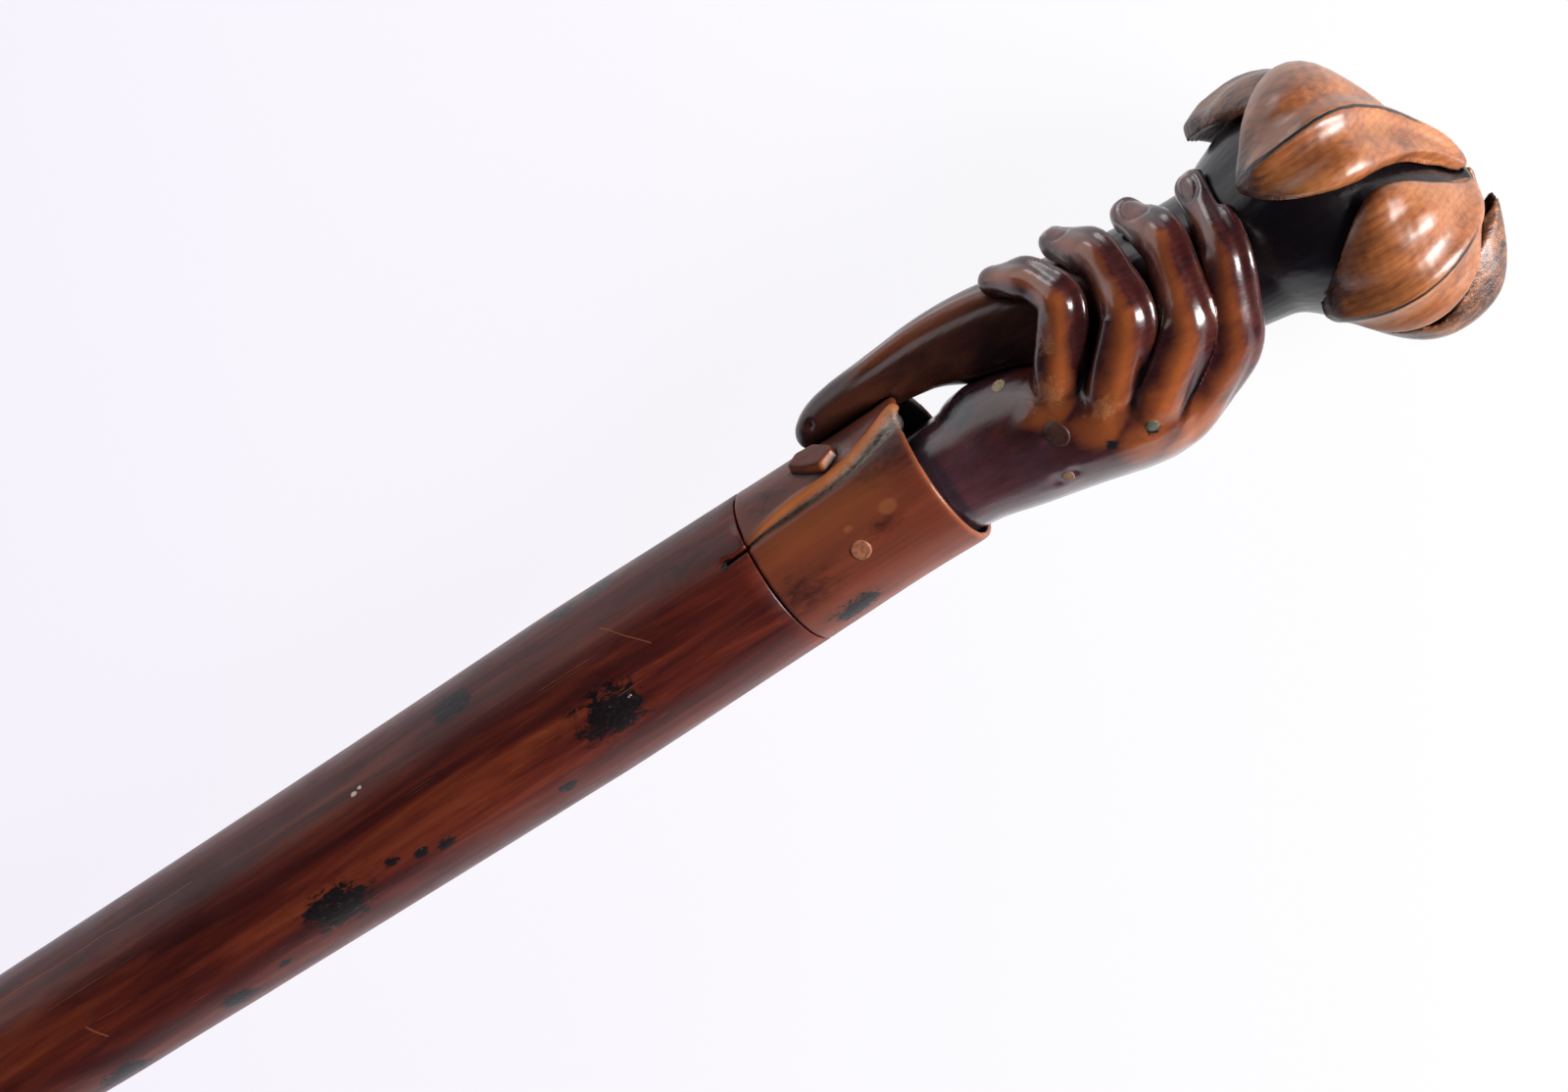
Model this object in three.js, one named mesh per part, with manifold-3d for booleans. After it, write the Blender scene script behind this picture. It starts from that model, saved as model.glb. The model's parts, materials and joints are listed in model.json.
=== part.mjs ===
// A carved wooden walking stick, lying on a table as it is photographed: a long tapering shank with
// lopped knots, a sleeve cuff with a slit and a button, and out of the cuff a left hand that grips a
// curved stalk, which opens into a head of folded leaves. Millimetres, +Z up.
//
// The stick is drawn in its own frame first: x runs along its axis from the seam between shank and
// cuff towards the leaves, z is the side that shows, and y is across. The last lines lay it down.

import * as THREE from "three";
import { mergeVertices } from "three/addons/utils/BufferGeometryUtils.js";
import Module from "manifold-3d";

const wasm = await Module();
wasm.setup();

// Driving dimensions.
const SHANK_LENGTH = 757.6; // seam to foot, which makes the whole stick 890 long
const FIT_GAP = 0.3; // glue line between two carved faces
const DOWEL_GAP = 0.15; // round a dowel or a peg

const SEAM_RADIUS = 14.4; // shank and cuff where they meet
const SHOULDER_RADIUS = 14.9; // the shank's thickest place
const SHOULDER_DROP = 42; // how far that is below the seam
const SHANK_END_RADIUS = 8.9; // where the ferrule's mouth grips
const SHANK_BOW = 2.2; // how far the natural stem bows sideways
const SEAM_GAP = 0.3;
const EDGE = 0.15; // eased corner of shank and cuff at the seam

const DOWEL_RADIUS = 4;
const DOWEL_IN_SHANK = 22;
const DOWEL_IN_WRIST = 10;

const FERRULE_LENGTH = 34;
const FERRULE_WALL = 1.1;
const FERRULE_END_RADIUS = 8.2;
const FOOT_THICKNESS = 5;
const FERRULE_PIN_RADIUS = 0.8;
const FERRULE_PIN_LENGTH = 5.5;
const FERRULE_PIN_PROUD = 0.0441; // how far a pin's end stands out of the ferrule's slope

const CUFF_LENGTH = 32.5;
const CUFF_LIP = 1.1; // wall at the rim
const CUFF_HOLLOW = 8; // depth of the open sleeve round the wrist
const SLIT_WIDTH = 3.6; // at the rim
const SLIT_DEPTH = 1.5;

const BUTTON_LENGTH = 7.4;
const BUTTON_WIDTH = 4.8;
const BUTTON_HEIGHT = 1.7;
const BUTTON_SHANK = 1.1;

const WRIST_HEIGHT = 19.4; // across, in y
const WRIST_DEPTH = 22.4; // in z
const KNUCKLE_BEND = 0.22; // share of a bone that its rounded knuckle takes
const BONE_WAIST = 0.95; // how much slimmer a finger is between its knuckles
const SQUARENESS = 0.8; // 1 is a round finger, less is squarer
const FINGER_LEAN = 0.12;
const STALK_NECK = 13.3; // radius where the stalk leaves the fist
const HEAD_LENGTH = 38;
const HEAD_RADIUS = 26;
const LEAF_THICKNESS = 2.4; // at its tip; it grows thicker where it folds
const EYE_RADIUS = 3; // the little boss that the leaves meet round, at the very end
const PEG_RADIUS = 1;
const PEG_LENGTH = 4;

const V = (x, y, z) => new THREE.Vector3(x, y, z);
const degrees = THREE.MathUtils.degToRad;
const smooth = THREE.MathUtils.smoothstep;
const mix = THREE.MathUtils.lerp;

// A smooth curve through points that are given as [x, y, z, ...].
const through = (points) =>
  new THREE.CatmullRomCurve3(points.map(([x, y, z]) => V(x, y, z)), false, "centripetal");

// A point of the hand, the stalk or the head is given from the cuff's rim.
const pastRim = ([x, ...rest]) => [CUFF_LENGTH + x, ...rest];

// A point at a distance along the stick, a radius from its axis and an angle from +z towards +y.
function around(x, radius, angle) {
  return V(x, radius * Math.sin(degrees(angle)), radius * Math.cos(degrees(angle)));
}

// A closed body through rings of points that follow one another, with a fan over each end.
function loft(rings) {
  const sides = rings[0].length;
  const points = rings.flat();
  const middle = (ring) =>
    ring.reduce((sum, p) => sum.add(p), V(0, 0, 0)).divideScalar(sides);
  const first = points.length;
  points.push(middle(rings[0]), middle(rings.at(-1)));
  const faces = [];
  for (let j = 0; j < sides; j++) {
    const k = (j + 1) % sides;
    for (let i = 0; i + 1 < rings.length; i++) {
      const [a, b] = [i * sides, (i + 1) * sides];
      faces.push(a + j, a + k, b + k, a + j, b + k, b + j);
    }
    const end = (rings.length - 1) * sides;
    faces.push(first, k, j, first + 1, end + j, end + k);
  }
  const geometry = new THREE.BufferGeometry();
  geometry.setFromPoints(points);
  geometry.setIndex(faces);
  return geometry;
}

// Six times the volume inside a mesh: negative where its faces point inwards.
function signedVolume(points, faces) {
  const corner = (i) => V(points[3 * i], points[3 * i + 1], points[3 * i + 2]);
  let sum = 0;
  for (let f = 0; f < faces.length; f += 3) {
    sum += corner(faces[f]).dot(corner(faces[f + 1]).cross(corner(faces[f + 2])));
  }
  return sum;
}

// A closed mesh as a solid that can be cut and joined, and back.
function solid(geometry) {
  const bare = geometry.clone();
  bare.deleteAttribute("normal");
  bare.deleteAttribute("uv");
  const merged = mergeVertices(bare, 1e-4);
  const vertProperties = merged.attributes.position.array;
  const triVerts = new Uint32Array(merged.index.array);
  if (signedVolume(vertProperties, triVerts) < 0) triVerts.reverse();
  return new wasm.Manifold(new wasm.Mesh({ numProp: 3, vertProperties, triVerts }));
}

function geometryOf(body) {
  const mesh = body.getMesh();
  const geometry = new THREE.BufferGeometry();
  geometry.setAttribute("position", new THREE.BufferAttribute(mesh.vertProperties, 3));
  geometry.setIndex(new THREE.BufferAttribute(mesh.triVerts, 1));
  return geometry;
}

// A turned body about the x axis: its profile is [x, radius] pairs, from the foot side to the head side.
function turned(profile, sides) {
  const points = profile.map(([x, r]) => new THREE.Vector2(r, x));
  const geometry = new THREE.LatheGeometry(points, sides);
  return geometry.rotateZ(-Math.PI / 2);
}

// A solid round rod on the x axis.
const rod = (radius, x0, x1) => turned([[x0, 0], [x0, radius], [x1, radius], [x1, 0]], 20);

// A finger: straight bones between its joints, rounded knuckles at the joints, and round ends. Each
// joint is [x, y, z, radius]; out() gives the direction that is outwards at a point, which is where the
// finger's back lies. Its section is a rounded square that leans towards the head.
function finger(joints, sides, out) {
  const points = joints.map(([x, y, z]) => V(x, y, z));
  const stations = [];
  const station = (curve, t, radius) => {
    stations.push({ at: curve.getPoint(t), ahead: curve.getTangent(t), radius });
  };
  let from = points[0];
  points.slice(1).forEach((point, i) => {
    const [near, far] = [joints[i][3], joints[i + 1][3]];
    const last = i + 2 === points.length;
    const to = last ? point : point.clone().lerp(points[i], KNUCKLE_BEND);
    const bone = new THREE.LineCurve3(from, to);
    station(bone, 0, near);
    station(bone, 0.5, mix(near, far, 0.5) * BONE_WAIST);
    if (last) {
      station(bone, 1, far);
      return;
    }
    from = point.clone().lerp(points[i + 2], KNUCKLE_BEND);
    const knuckle = new THREE.QuadraticBezierCurve3(to, point, from);
    for (const t of [0, 0.33, 0.67]) station(knuckle, t, far);
  });
  const rings = [];
  const ring = ({ at, ahead, radius }, shift, shrink) => {
    const side = out(at).cross(ahead).normalize();
    const rise = ahead.clone().cross(side).normalize();
    const middle = at.clone().addScaledVector(ahead, shift * radius);
    const corner = (value) => Math.sign(value) * Math.abs(value) ** SQUARENESS;
    const points = [];
    for (let j = 0; j < sides; j++) {
      const a = (2 * Math.PI * j) / sides;
      const high = corner(Math.sin(a)) * radius * shrink;
      const wide = corner(Math.cos(a)) * radius * shrink - FINGER_LEAN * high;
      points.push(middle.clone().addScaledVector(side, wide).addScaledVector(rise, high));
    }
    rings.push(points);
  };
  const cap = [28, 55, 78].map(degrees);
  for (const a of cap.toReversed()) ring(stations[0], -Math.sin(a), Math.cos(a));
  for (const each of stations) ring(each, 0, 1);
  for (const a of cap) ring(stations.at(-1), Math.sin(a), Math.cos(a));
  return loft(rings);
}

// Joins bodies into one solid, and cuts bodies out of one.
const join = (...bodies) => bodies.reduce((sum, body) => sum.add(body));
const cut = (body, ...tools) => tools.reduce((rest, tool) => rest.subtract(tool), body);

// What is left of a body when the slivers that a cut frees have dropped off.
const trimmed = (body) => body.decompose().sort((a, b) => b.volume() - a.volume())[0];

const stick = new THREE.Group();

function add(name, body, { colour, roughness, metalness = 0 }) {
  const material = new THREE.MeshStandardMaterial({ color: colour, roughness, metalness });
  const mesh = new THREE.Mesh(geometryOf(body), material);
  mesh.name = name;
  stick.add(mesh);
}

// The shank. Its radius follows the distance below the seam: a slight shoulder, then a long taper.
// Each knot is where a side branch was lopped: how far down, its angle, its size and its swelling.
const KNOTS = [
  [34.7, -19, 7, 0.35], [59.7, 47, 4.5, 0.3], [95.7, -32, 7, 0.5], [122, -56, 4.5, 0.45],
  [148.5, -61, 5, 0.5], [205, 40, 5, 0.6], [262, 150, 6, 0.7], [318, -20, 5, 0.6],
  [391, 95, 6, 0.7], [452, -110, 5, 0.6], [523, 10, 5, 0.6], [601, 170, 4.5, 0.5], [668, -60, 4, 0.5],
];
const KNOT_STRETCH = 1.4; // how much longer a knot is than wide
const SHANK_SIDES = 20;
const spigotX = -(SHANK_LENGTH - FERRULE_LENGTH); // the ferrule's mouth
const SHANK_KNOTS = KNOTS.filter(([place, , size]) => place + 3 * size < -spigotX);
const spigotRadius = SHANK_END_RADIUS - FERRULE_WALL - DOWEL_GAP;
const spigotEndRadius = FERRULE_END_RADIUS - FERRULE_WALL - DOWEL_GAP;

function shankRadius(down) {
  if (down < SHOULDER_DROP) return mix(SEAM_RADIUS, SHOULDER_RADIUS, smooth(down, 0, SHOULDER_DROP));
  const share = (down - SHOULDER_DROP) / (-spigotX - SHOULDER_DROP);
  return mix(SHOULDER_RADIUS, SHANK_END_RADIUS, share ** 0.92);
}

// The bow dies out at both ends, so that cuff and ferrule stay in line.
function shankBow(down) {
  const share = Math.min(Math.max(down / -spigotX, 0), 1);
  return SHANK_BOW * Math.sin(Math.PI * share) ** 2 * Math.sin(2 * Math.PI * share - 0.6);
}

function shankRing(down, shrink = 0) {
  const ring = [];
  for (let j = 0; j < SHANK_SIDES; j++) {
    const angle = (360 * j) / SHANK_SIDES;
    let radius = shankRadius(down) - shrink;
    for (const [place, bearing, size, swelling] of SHANK_KNOTS) {
      const turn = degrees(((angle - bearing + 540) % 360) - 180) * radius;
      const away = Math.hypot((down - place) / KNOT_STRETCH, turn) / size;
      radius += swelling * Math.exp(-away * away);
    }
    const point = around(-down, radius, angle);
    point.y += shankBow(down);
    ring.push(point);
  }
  return ring;
}

// The shank ends in a thinner spigot, which the ferrule takes.
function makeShank() {
  const spacing = 48;
  const stations = [SEAM_GAP / 2 + EDGE, SHOULDER_DROP * 0.3, SHOULDER_DROP];
  for (let down = SHOULDER_DROP + spacing * 0.7; down < -spigotX - spacing / 2; down += spacing) {
    stations.push(down);
  }
  for (const [place, , size] of SHANK_KNOTS) {
    for (const step of [-1.1, 0, 1.1]) stations.push(place + step * size * KNOT_STRETCH);
  }
  const fitting = stations.filter((down) => down < -spigotX - 2).sort((a, b) => a - b);
  const spaced = [...fitting.filter((down, i) => !i || down - fitting[i - 1] > 1.6), -spigotX];
  const rings = [shankRing(SEAM_GAP / 2, EDGE), ...spaced.map((down) => shankRing(down))];
  const wood = solid(loft(rings));
  const spigotEnd = -SHANK_LENGTH + FOOT_THICKNESS + DOWEL_GAP;
  const spigot = solid(turned([
    [spigotEnd, 0],
    [spigotEnd, spigotEndRadius],
    [spigotX + 1, spigotRadius],
    [spigotX + 1, 0],
  ], SHANK_SIDES));
  return join(wood, spigot);
}

// The hidden dowel that lines up shank, cuff and wrist.
const cuffFloor = CUFF_LENGTH - CUFF_HOLLOW;
const dowelX0 = -DOWEL_IN_SHANK;
const dowelX1 = cuffFloor + DOWEL_IN_WRIST;
const dowelHole = () => solid(rod(DOWEL_RADIUS + DOWEL_GAP, dowelX0 - DOWEL_GAP, dowelX1 + DOWEL_GAP));

// The slit in the sleeve: a groove that opens from a small drilled hole just over the seam to the rim.
const SLIT_PATH = [[-4.3, 21.5, 1], [6, 25, 1.7], [18.5, 31.5, 2.9], [CUFF_LENGTH + 1, 45, SLIT_WIDTH]];
function slitTool() {
  const rings = SLIT_PATH.map(([x, angle, width]) => {
    const half = THREE.MathUtils.radToDeg(width / 2 / SEAM_RADIUS);
    const [low, high] = [SEAM_RADIUS - SLIT_DEPTH, SEAM_RADIUS + 2];
    return [
      around(x, high, angle - half), around(x, high, angle + half),
      around(x, low, angle + half * 0.7), around(x, low, angle - half * 0.7),
    ];
  });
  return solid(loft(rings));
}

// The cuff: a turned sleeve with a flared lip, open round the wrist.
const rimRadius = SEAM_RADIUS + 0.1;
const sleeveRadius = rimRadius - CUFF_LIP - 0.6; // at the sleeve's floor
function makeCuff() {
  return solid(turned([
    [SEAM_GAP / 2, 0],
    [SEAM_GAP / 2, SEAM_RADIUS - EDGE],
    [SEAM_GAP / 2 + EDGE, SEAM_RADIUS],
    [CUFF_LENGTH * 0.3, SEAM_RADIUS - 0.1],
    [CUFF_LENGTH * 0.6, SEAM_RADIUS - 0.3],
    [CUFF_LENGTH * 0.85, rimRadius - 0.2],
    [CUFF_LENGTH - 0.6, rimRadius],
    [CUFF_LENGTH, rimRadius - 0.35],
    [CUFF_LENGTH, rimRadius - CUFF_LIP],
    [CUFF_LENGTH - 1.5, rimRadius - CUFF_LIP - 0.2],
    [cuffFloor, sleeveRadius],
    [cuffFloor, 0],
  ], 40));
}

// The button: a pointed oval with a domed top, on a short shank let into the cuff.
const BUTTON_PLACE = { x: CUFF_LENGTH / 2, angle: 53, turn: 12 };
function makeButton(grow = 0) {
  const outline = [];
  const steps = 16;
  for (let i = 0; i < steps; i++) {
    const a = (2 * Math.PI * i) / steps;
    const narrowed = Math.sign(Math.sin(a)) * Math.abs(Math.sin(a)) ** 1.25;
    outline.push([Math.cos(a) * (BUTTON_LENGTH / 2), narrowed * (BUTTON_WIDTH / 2)]);
  }
  const level = (height, share) => outline.map(([a, b]) => V(a * share, b * share, height));
  const dome = solid(loft([
    level(0.1, 0.86), level(0.6, 1), level(BUTTON_HEIGHT * 0.62, 0.92), level(BUTTON_HEIGHT, 0.45),
  ]));
  const depth = 3 + grow;
  const shank = new THREE.CylinderGeometry(BUTTON_SHANK + grow, BUTTON_SHANK + grow, depth, 12);
  shank.rotateX(Math.PI / 2).translate(0, 0, 0.3 - depth / 2);
  const geometry = geometryOf(join(dome, solid(shank)));
  geometry.rotateZ(degrees(BUTTON_PLACE.turn));
  geometry.translate(0, 0, SEAM_RADIUS + FIT_GAP - 0.1 - (grow ? 0.1 : 0));
  geometry.rotateX(-degrees(BUTTON_PLACE.angle)).translate(BUTTON_PLACE.x, 0, 0);
  return solid(geometry);
}

// The stalk: a rounded end over the cuff, thickening through the fist to the neck, and then the core
// that carries the leaves. Each station is x past the rim, the centre's y, and the radius.
const STALK = [
  [-18.7, 15.9, 1.3], [-17.5, 16.1, 2.6], [-14.5, 16.7, 3.8], [-9.5, 17.2, 4.3], [-0.5, 17, 5],
  [8.5, 16.6, 6.2], [19.5, 14.6, 7.7], [31.5, 10.4, 9.4], [43.5, 6, 11.4], [54.5, 3.4, 12.8],
  [61.5, 2.8, STALK_NECK], [67.5, 2, STALK_NECK - 0.4],
];
// The head leans over to the palm's side and away from the side that shows, so it has an axis of its own:
// distances along it start at the neck. Towards STEEP_SIDE it slopes off early; opposite it stays blunt.
const HEAD_LEAN = 18;
const HEAD_NOD = 12;
const HEAD_START = V(...pastRim([62.5, 3, 0]));
const STEEP_SIDE = 92;
const bluntness = (bearing) => 0.5 - 0.5 * Math.cos(degrees(bearing - STEEP_SIDE));
const onHead = (geometry) => {
  geometry.rotateY(degrees(HEAD_NOD));
  geometry.rotateZ(-degrees(HEAD_LEAN));
  return geometry.translate(HEAD_START.x, HEAD_START.y, HEAD_START.z);
};

// Lines over the head from a leaf's tip to the eye: shares of the way, and of the head's radius.
const STEEP = [
  [0, 0.74], [0.1, 0.88], [0.25, 1], [0.42, 0.97], [0.6, 0.73], [0.78, 0.43], [0.92, 0.24], [1, 0.1],
];
const BLUNT = [
  [0, 0.74], [0.1, 0.82], [0.3, 0.93], [0.5, 0.98], [0.7, 0.95], [0.87, 0.8], [0.97, 0.5], [1, 0.1],
];
const steepLine = through(STEEP.map(([share, rise]) => [share, rise, 0]));
const bluntLine = through(BLUNT.map(([share, rise]) => [share, rise, 0]));
function overHead(t, bearing) {
  return steepLine.getPoint(t).lerp(bluntLine.getPoint(t), bluntness(bearing));
}

// The core keeps inside those lines by the leaves' thickness.
const CORE_FOOT = -6;
function makeCore(grow) {
  const sides = 20;
  const rings = [];
  for (const t of [0, 0.1, 0.2, 0.3, 0.4, 0.5, 0.6, 0.7, 0.8, 0.88, 0.95, 1]) {
    const ring = [];
    for (let j = 0; j < sides; j++) {
      const bearing = (360 * j) / sides;
      const at = overHead(t, bearing);
      const blunt = bluntness(bearing);
      const swell = smooth(t, mix(-0.15, 0.12, blunt), mix(0.3, 0.62, blunt));
      const under = Math.max(HEAD_RADIUS * at.y - 1.5 * LEAF_THICKNESS, EYE_RADIUS);
      const radius = Math.min(mix(STALK_NECK - 2.5 * blunt, under, swell), under) + grow;
      const along = mix(CORE_FOOT, HEAD_LENGTH - 0.6, at.x) + (t === 1 ? grow : 0);
      ring.push(around(along, radius, bearing));
    }
    rings.push(ring);
  }
  return solid(onHead(loft(rings)));
}

function makeStalk(grow = 0) {
  const curve = through(STALK.map(pastRim));
  const sides = 20;
  const rings = [];
  const steps = 20;
  for (let i = 0; i <= steps; i++) {
    const at = curve.getPoint(i / steps);
    const ring = [];
    for (let j = 0; j < sides; j++) {
      const a = (2 * Math.PI * j) / sides;
      const wave = 1 + 0.012 * Math.sin(3 * a + at.x / 9);
      const radius = at.z * wave + grow;
      ring.push(V(at.x, at.y + radius * Math.sin(a), radius * Math.cos(a)));
    }
    rings.push(ring);
  }
  return join(solid(loft(rings)), makeCore(grow));
}

// The hand. A finger's joints run from its root in the palm over knuckle, middle joint and end joint to
// the tip: x past the rim, y, z and radius.
const FINGERS = {
  little: [
    [16, -0.8, 5, 4.2], [25.2, -0.4, 11, 4.1], [35.6, 11.1, 15.3, 3.7], [32.2, 17.2, 12, 2.9],
    [25.1, 20.5, 6.8, 2.4],
  ],
  ring: [
    [21, -6.5, 5, 4.2], [31.4, -6.4, 12, 4.3], [43.7, 3.4, 16.4, 4.2], [43.5, 14.3, 12.3, 3.5],
    [37, 20.2, 5.6, 2.7],
  ],
  middle: [
    [25.4, -11.4, 4, 4.2], [35.7, -11.5, 11, 4.3], [50.7, -3, 15.6, 4.2], [54.3, 10.4, 13.4, 3.7],
    [49.5, 17.5, 6, 2.9],
  ],
  index: [
    [29.1, -14.9, 0, 4.2], [39.6, -15.2, 6, 4.3], [54.6, -8.8, 12.6, 4.1], [62, 3.3, 15.2, 3.7],
    [61.1, 15, 7.4, 3.3],
  ],
  thumb: [[15.5, 1, -10, 5.4], [31, 6.5, -14, 4.7], [47, 7.2, -16, 4.2], [60, 8.6, -15.2, 3.1]],
};
// The wrist and the palm: x past the rim, the centre's y and z, half the height in y and half the
// depth in z.
const WRIST = WRIST_HEIGHT / 2;
const THICK = WRIST_DEPTH / 2;
const PALM = [
  [FIT_GAP - CUFF_HOLLOW, -2.4, 0, WRIST, THICK], [3.5, -2.8, 0, WRIST + 0.3, THICK],
  [10.5, -3.4, 0, WRIST + 1.7, THICK + 0.6], [19.5, -4.6, 0.6, WRIST + 2.3, THICK + 2],
  [28.5, -7.2, 1, WRIST + 1.9, THICK + 3.2], [36.5, -10, 1.4, WRIST + 0.3, THICK + 2.2],
  [45.5, -10.6, 2, WRIST - 3.1, THICK - 1], [51.5, -9.4, 3.4, WRIST - 5.7, THICK - 5.2],
];
// The knotty heel of the hand, which rises to the stalk: x past the rim, y, z and its half sizes.
const HEEL = { at: [10, 4.4, 2.6], half: [6.4, 5.6, 5.8] };
// Whatever of the wrist would touch the sleeve's wall is pared off it.
const sleeveWall = () => solid(turned([
  [cuffFloor - 2, sleeveRadius - FIT_GAP],
  [cuffFloor - 2, SEAM_RADIUS * 2],
  [CUFF_LENGTH + FIT_GAP, SEAM_RADIUS * 2],
  [CUFF_LENGTH + FIT_GAP, sleeveRadius - FIT_GAP],
  [cuffFloor - 2, sleeveRadius - FIT_GAP],
], 40));
const outOfStalk = (p) => {
  const stalkY = mix(12, 3, smooth(p.x - CUFF_LENGTH, 23, 57));
  return V(0, p.y - stalkY, p.z * 1.2).normalize();
};

function makePalm() {
  const lengths = new THREE.CatmullRomCurve3(PALM.map(([x, y, z]) => V(...pastRim([x, y, z]))));
  const halves = new THREE.CatmullRomCurve3(PALM.map(([, , , h, d]) => V(0, h, d)));
  const sides = 22;
  const steps = 12;
  const rings = [];
  const ring = (t, shift, shrink) => {
    const at = lengths.getPoint(t);
    const half = halves.getPoint(t);
    const points = [];
    for (let j = 0; j < sides; j++) {
      const a = (2 * Math.PI * j) / sides;
      const bulge = shrink * (1 + 0.05 * Math.sin(2 * a) ** 2);
      const [rise, depth] = [half.y * bulge * Math.sin(a), half.z * bulge * Math.cos(a)];
      points.push(V(at.x + shift, at.y + rise, at.z + depth));
    }
    rings.push(points);
  };
  for (let i = 0; i <= steps; i++) ring(i / steps, 0, 1);
  for (const a of [30, 60, 80]) ring(1, 5 * Math.sin(degrees(a)), Math.cos(degrees(a)));
  return solid(loft(rings));
}

function makeHand() {
  const digits = Object.values(FINGERS).map((joints) =>
    solid(finger(joints.map(pastRim), 12, outOfStalk)));
  const heel = new THREE.SphereGeometry(1, 14, 9).scale(...HEEL.half);
  heel.translate(...pastRim(HEEL.at));
  return join(makePalm(), solid(heel), ...digits);
}

// The leaves fold back over the head like petals. Each has its bearing round the head, how far along
// it its tip lies, its width in degrees on either side of the rib, and how high it stands. Those that
// show best sweep round on the way and have a raised rib with a hollow under it; one is more pointed
// than the rest, one curls out at its tip, and one reaches over the end and flares to a lip.
const LEAVES = {
  leaf_front: { bearing: 29, tip: -0.5, before: 24, after: 44, lift: 3.3, sweep: 60, bend: 2.3, rib: 1 },
  leaf_middle: { bearing: -46.6, tip: 8, before: 26, after: 45, lift: -0.6, sweep: 32, rib: 1, pointed: 1.1 },
  leaf_rear: { bearing: 100, tip: -5.2, before: 42, after: 44, lift: 0.6, curl: 1.6 },
  leaf_flared: { bearing: -108, tip: 13, before: 38, after: 50, lift: -3.8, reach: 2.8, flare: 1 },
  leaf_under: { bearing: 180, tip: 3, before: 38, after: 36, lift: -0.5, reach: 1 },
};

const LOBE = 0.9; // how full a leaf swells on each side of its rib
const HOLLOW = 0.8; // how far it sinks there instead
const CREST = 0.9; // height of a raised rib
const CREST_SPREAD = 0.16; // and its spread, as a share of the leaf's half width
const GROOVE = 0.8; // depth of the line along the rib
const EDGE_FALL = 1.2; // how far a leaf's edge bends down at its tip
const LIP = 1.6;
const LIP_SPREAD = 0.2;
const LIP_TROUGH = 3.4; // the flared leaf sinks this far behind its lip

function makeLeaf(leaf, grow = 0) {
  const { bearing, tip, before, after, lift, sweep = 0, bend = 1, rib = 0, pointed = 0.8 } = leaf;
  const { curl = 0, reach = 0, flare = 0 } = leaf;
  const across = [-1, -0.88, -0.6, -0.3, -0.12, -0.035, 0, 0.035, 0.12, 0.34, 0.62, 0.88, 1];
  const under = [1, 0.5, 0, -0.5, -1];
  const rings = [];
  const places = [0.004, 0.03, 0.07, 0.13, 0.2, 0.28, 0.37, 0.46, 0.55, 0.64, 0.73, 0.82, 0.9, 0.96];
  places.forEach((t, i) => {
    const opening = Math.min(t / 0.4, 1);
    const widened = (part, power) => Math.max(0.05, Math.sin((part * Math.PI) / 2) ** power);
    const closing = 1 - 0.3 * rib * smooth(t, 0.45, 0.75);
    const low = before * widened(Math.min(t / 0.5, 1), 0.8);
    const high = after * widened(opening, pointed) * closing;
    const ends = i === 0 ? -grow : i === places.length - 1 ? grow : 0;
    const point = (w, lower) => {
      const turn = w * (w < 0 ? low : high) + sweep * t ** bend;
      const at = overHead(t, bearing + turn);
      const along = mix(tip, HEAD_LENGTH, at.x) + ends + reach * smooth(t, 0.5, 0.8);
      const hollow = rib && w < 0 && !grow;
      const lobe = (hollow ? -HOLLOW : LOBE) * Math.sin(Math.PI * Math.abs(w)) * opening;
      const crest = rib * CREST * Math.exp(-((w / CREST_SPREAD) ** 2)) * opening;
      const groove = w === 0 && !grow ? GROOVE * opening : 0;
      const fall = (EDGE_FALL + (rib ? 0.4 : 1.6) * opening) * Math.abs(w) ** (hollow ? 8 : 4);
      const lip = LIP * Math.exp(-(((w - 0.44) / LIP_SPREAD) ** 2)) - LIP_TROUGH * smooth(w, 0.5, 0.95);
      const relief = lobe + crest - groove - fall + flare * lip * opening;
      const height = (HEAD_RADIUS + lift) * at.y + relief + curl * (1 - smooth(t, 0, 0.2));
      const depth = mix(LEAF_THICKNESS, LEAF_THICKNESS * 2.2, smooth(t, 0.15, 0.45));
      const eye = EYE_RADIUS + FIT_GAP;
      const slack = grow * (1 + 5 * smooth(t, 0.6, 0.85));
      const inner = Math.max(height - depth, eye) - slack;
      const radius = lower ? inner : Math.max(height, eye + LEAF_THICKNESS / 2) + slack;
      const wider = (grow * Math.sign(w) * 60) / Math.max(radius, 1);
      return around(along, radius, bearing + turn + wider);
    };
    rings.push([...across.map((w) => point(w, false)), ...under.map((w) => point(w * 0.98, true))]);
  });
  return solid(onHead(loft(rings)));
}

// Small pale pegs, flush with the carving: the point where each shows, and one that it is driven
// towards. Those of the hand are measured past the rim, and the cuff's from the seam.
const PEGS = {
  hand_peg_1: { at: [16.9, 5.4, 7.8], from: [16.5, -2.8, 2.1] },
  hand_peg_2: { at: [19.2, -12.3, 9.9], from: [21.1, -6.6, 1.9] },
  hand_peg_3: { at: [22, -5.5, 13.7], from: [22.1, -0.3, 5.2] },
  hand_peg_4: { at: [36, -13.7, 15.1], from: [36, -7, 7.6] },
  cuff_peg: { at: [CUFF_LENGTH / 2, -4.7, SEAM_RADIUS - 0.8], from: [CUFF_LENGTH / 2, 0, 0] },
};

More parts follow.
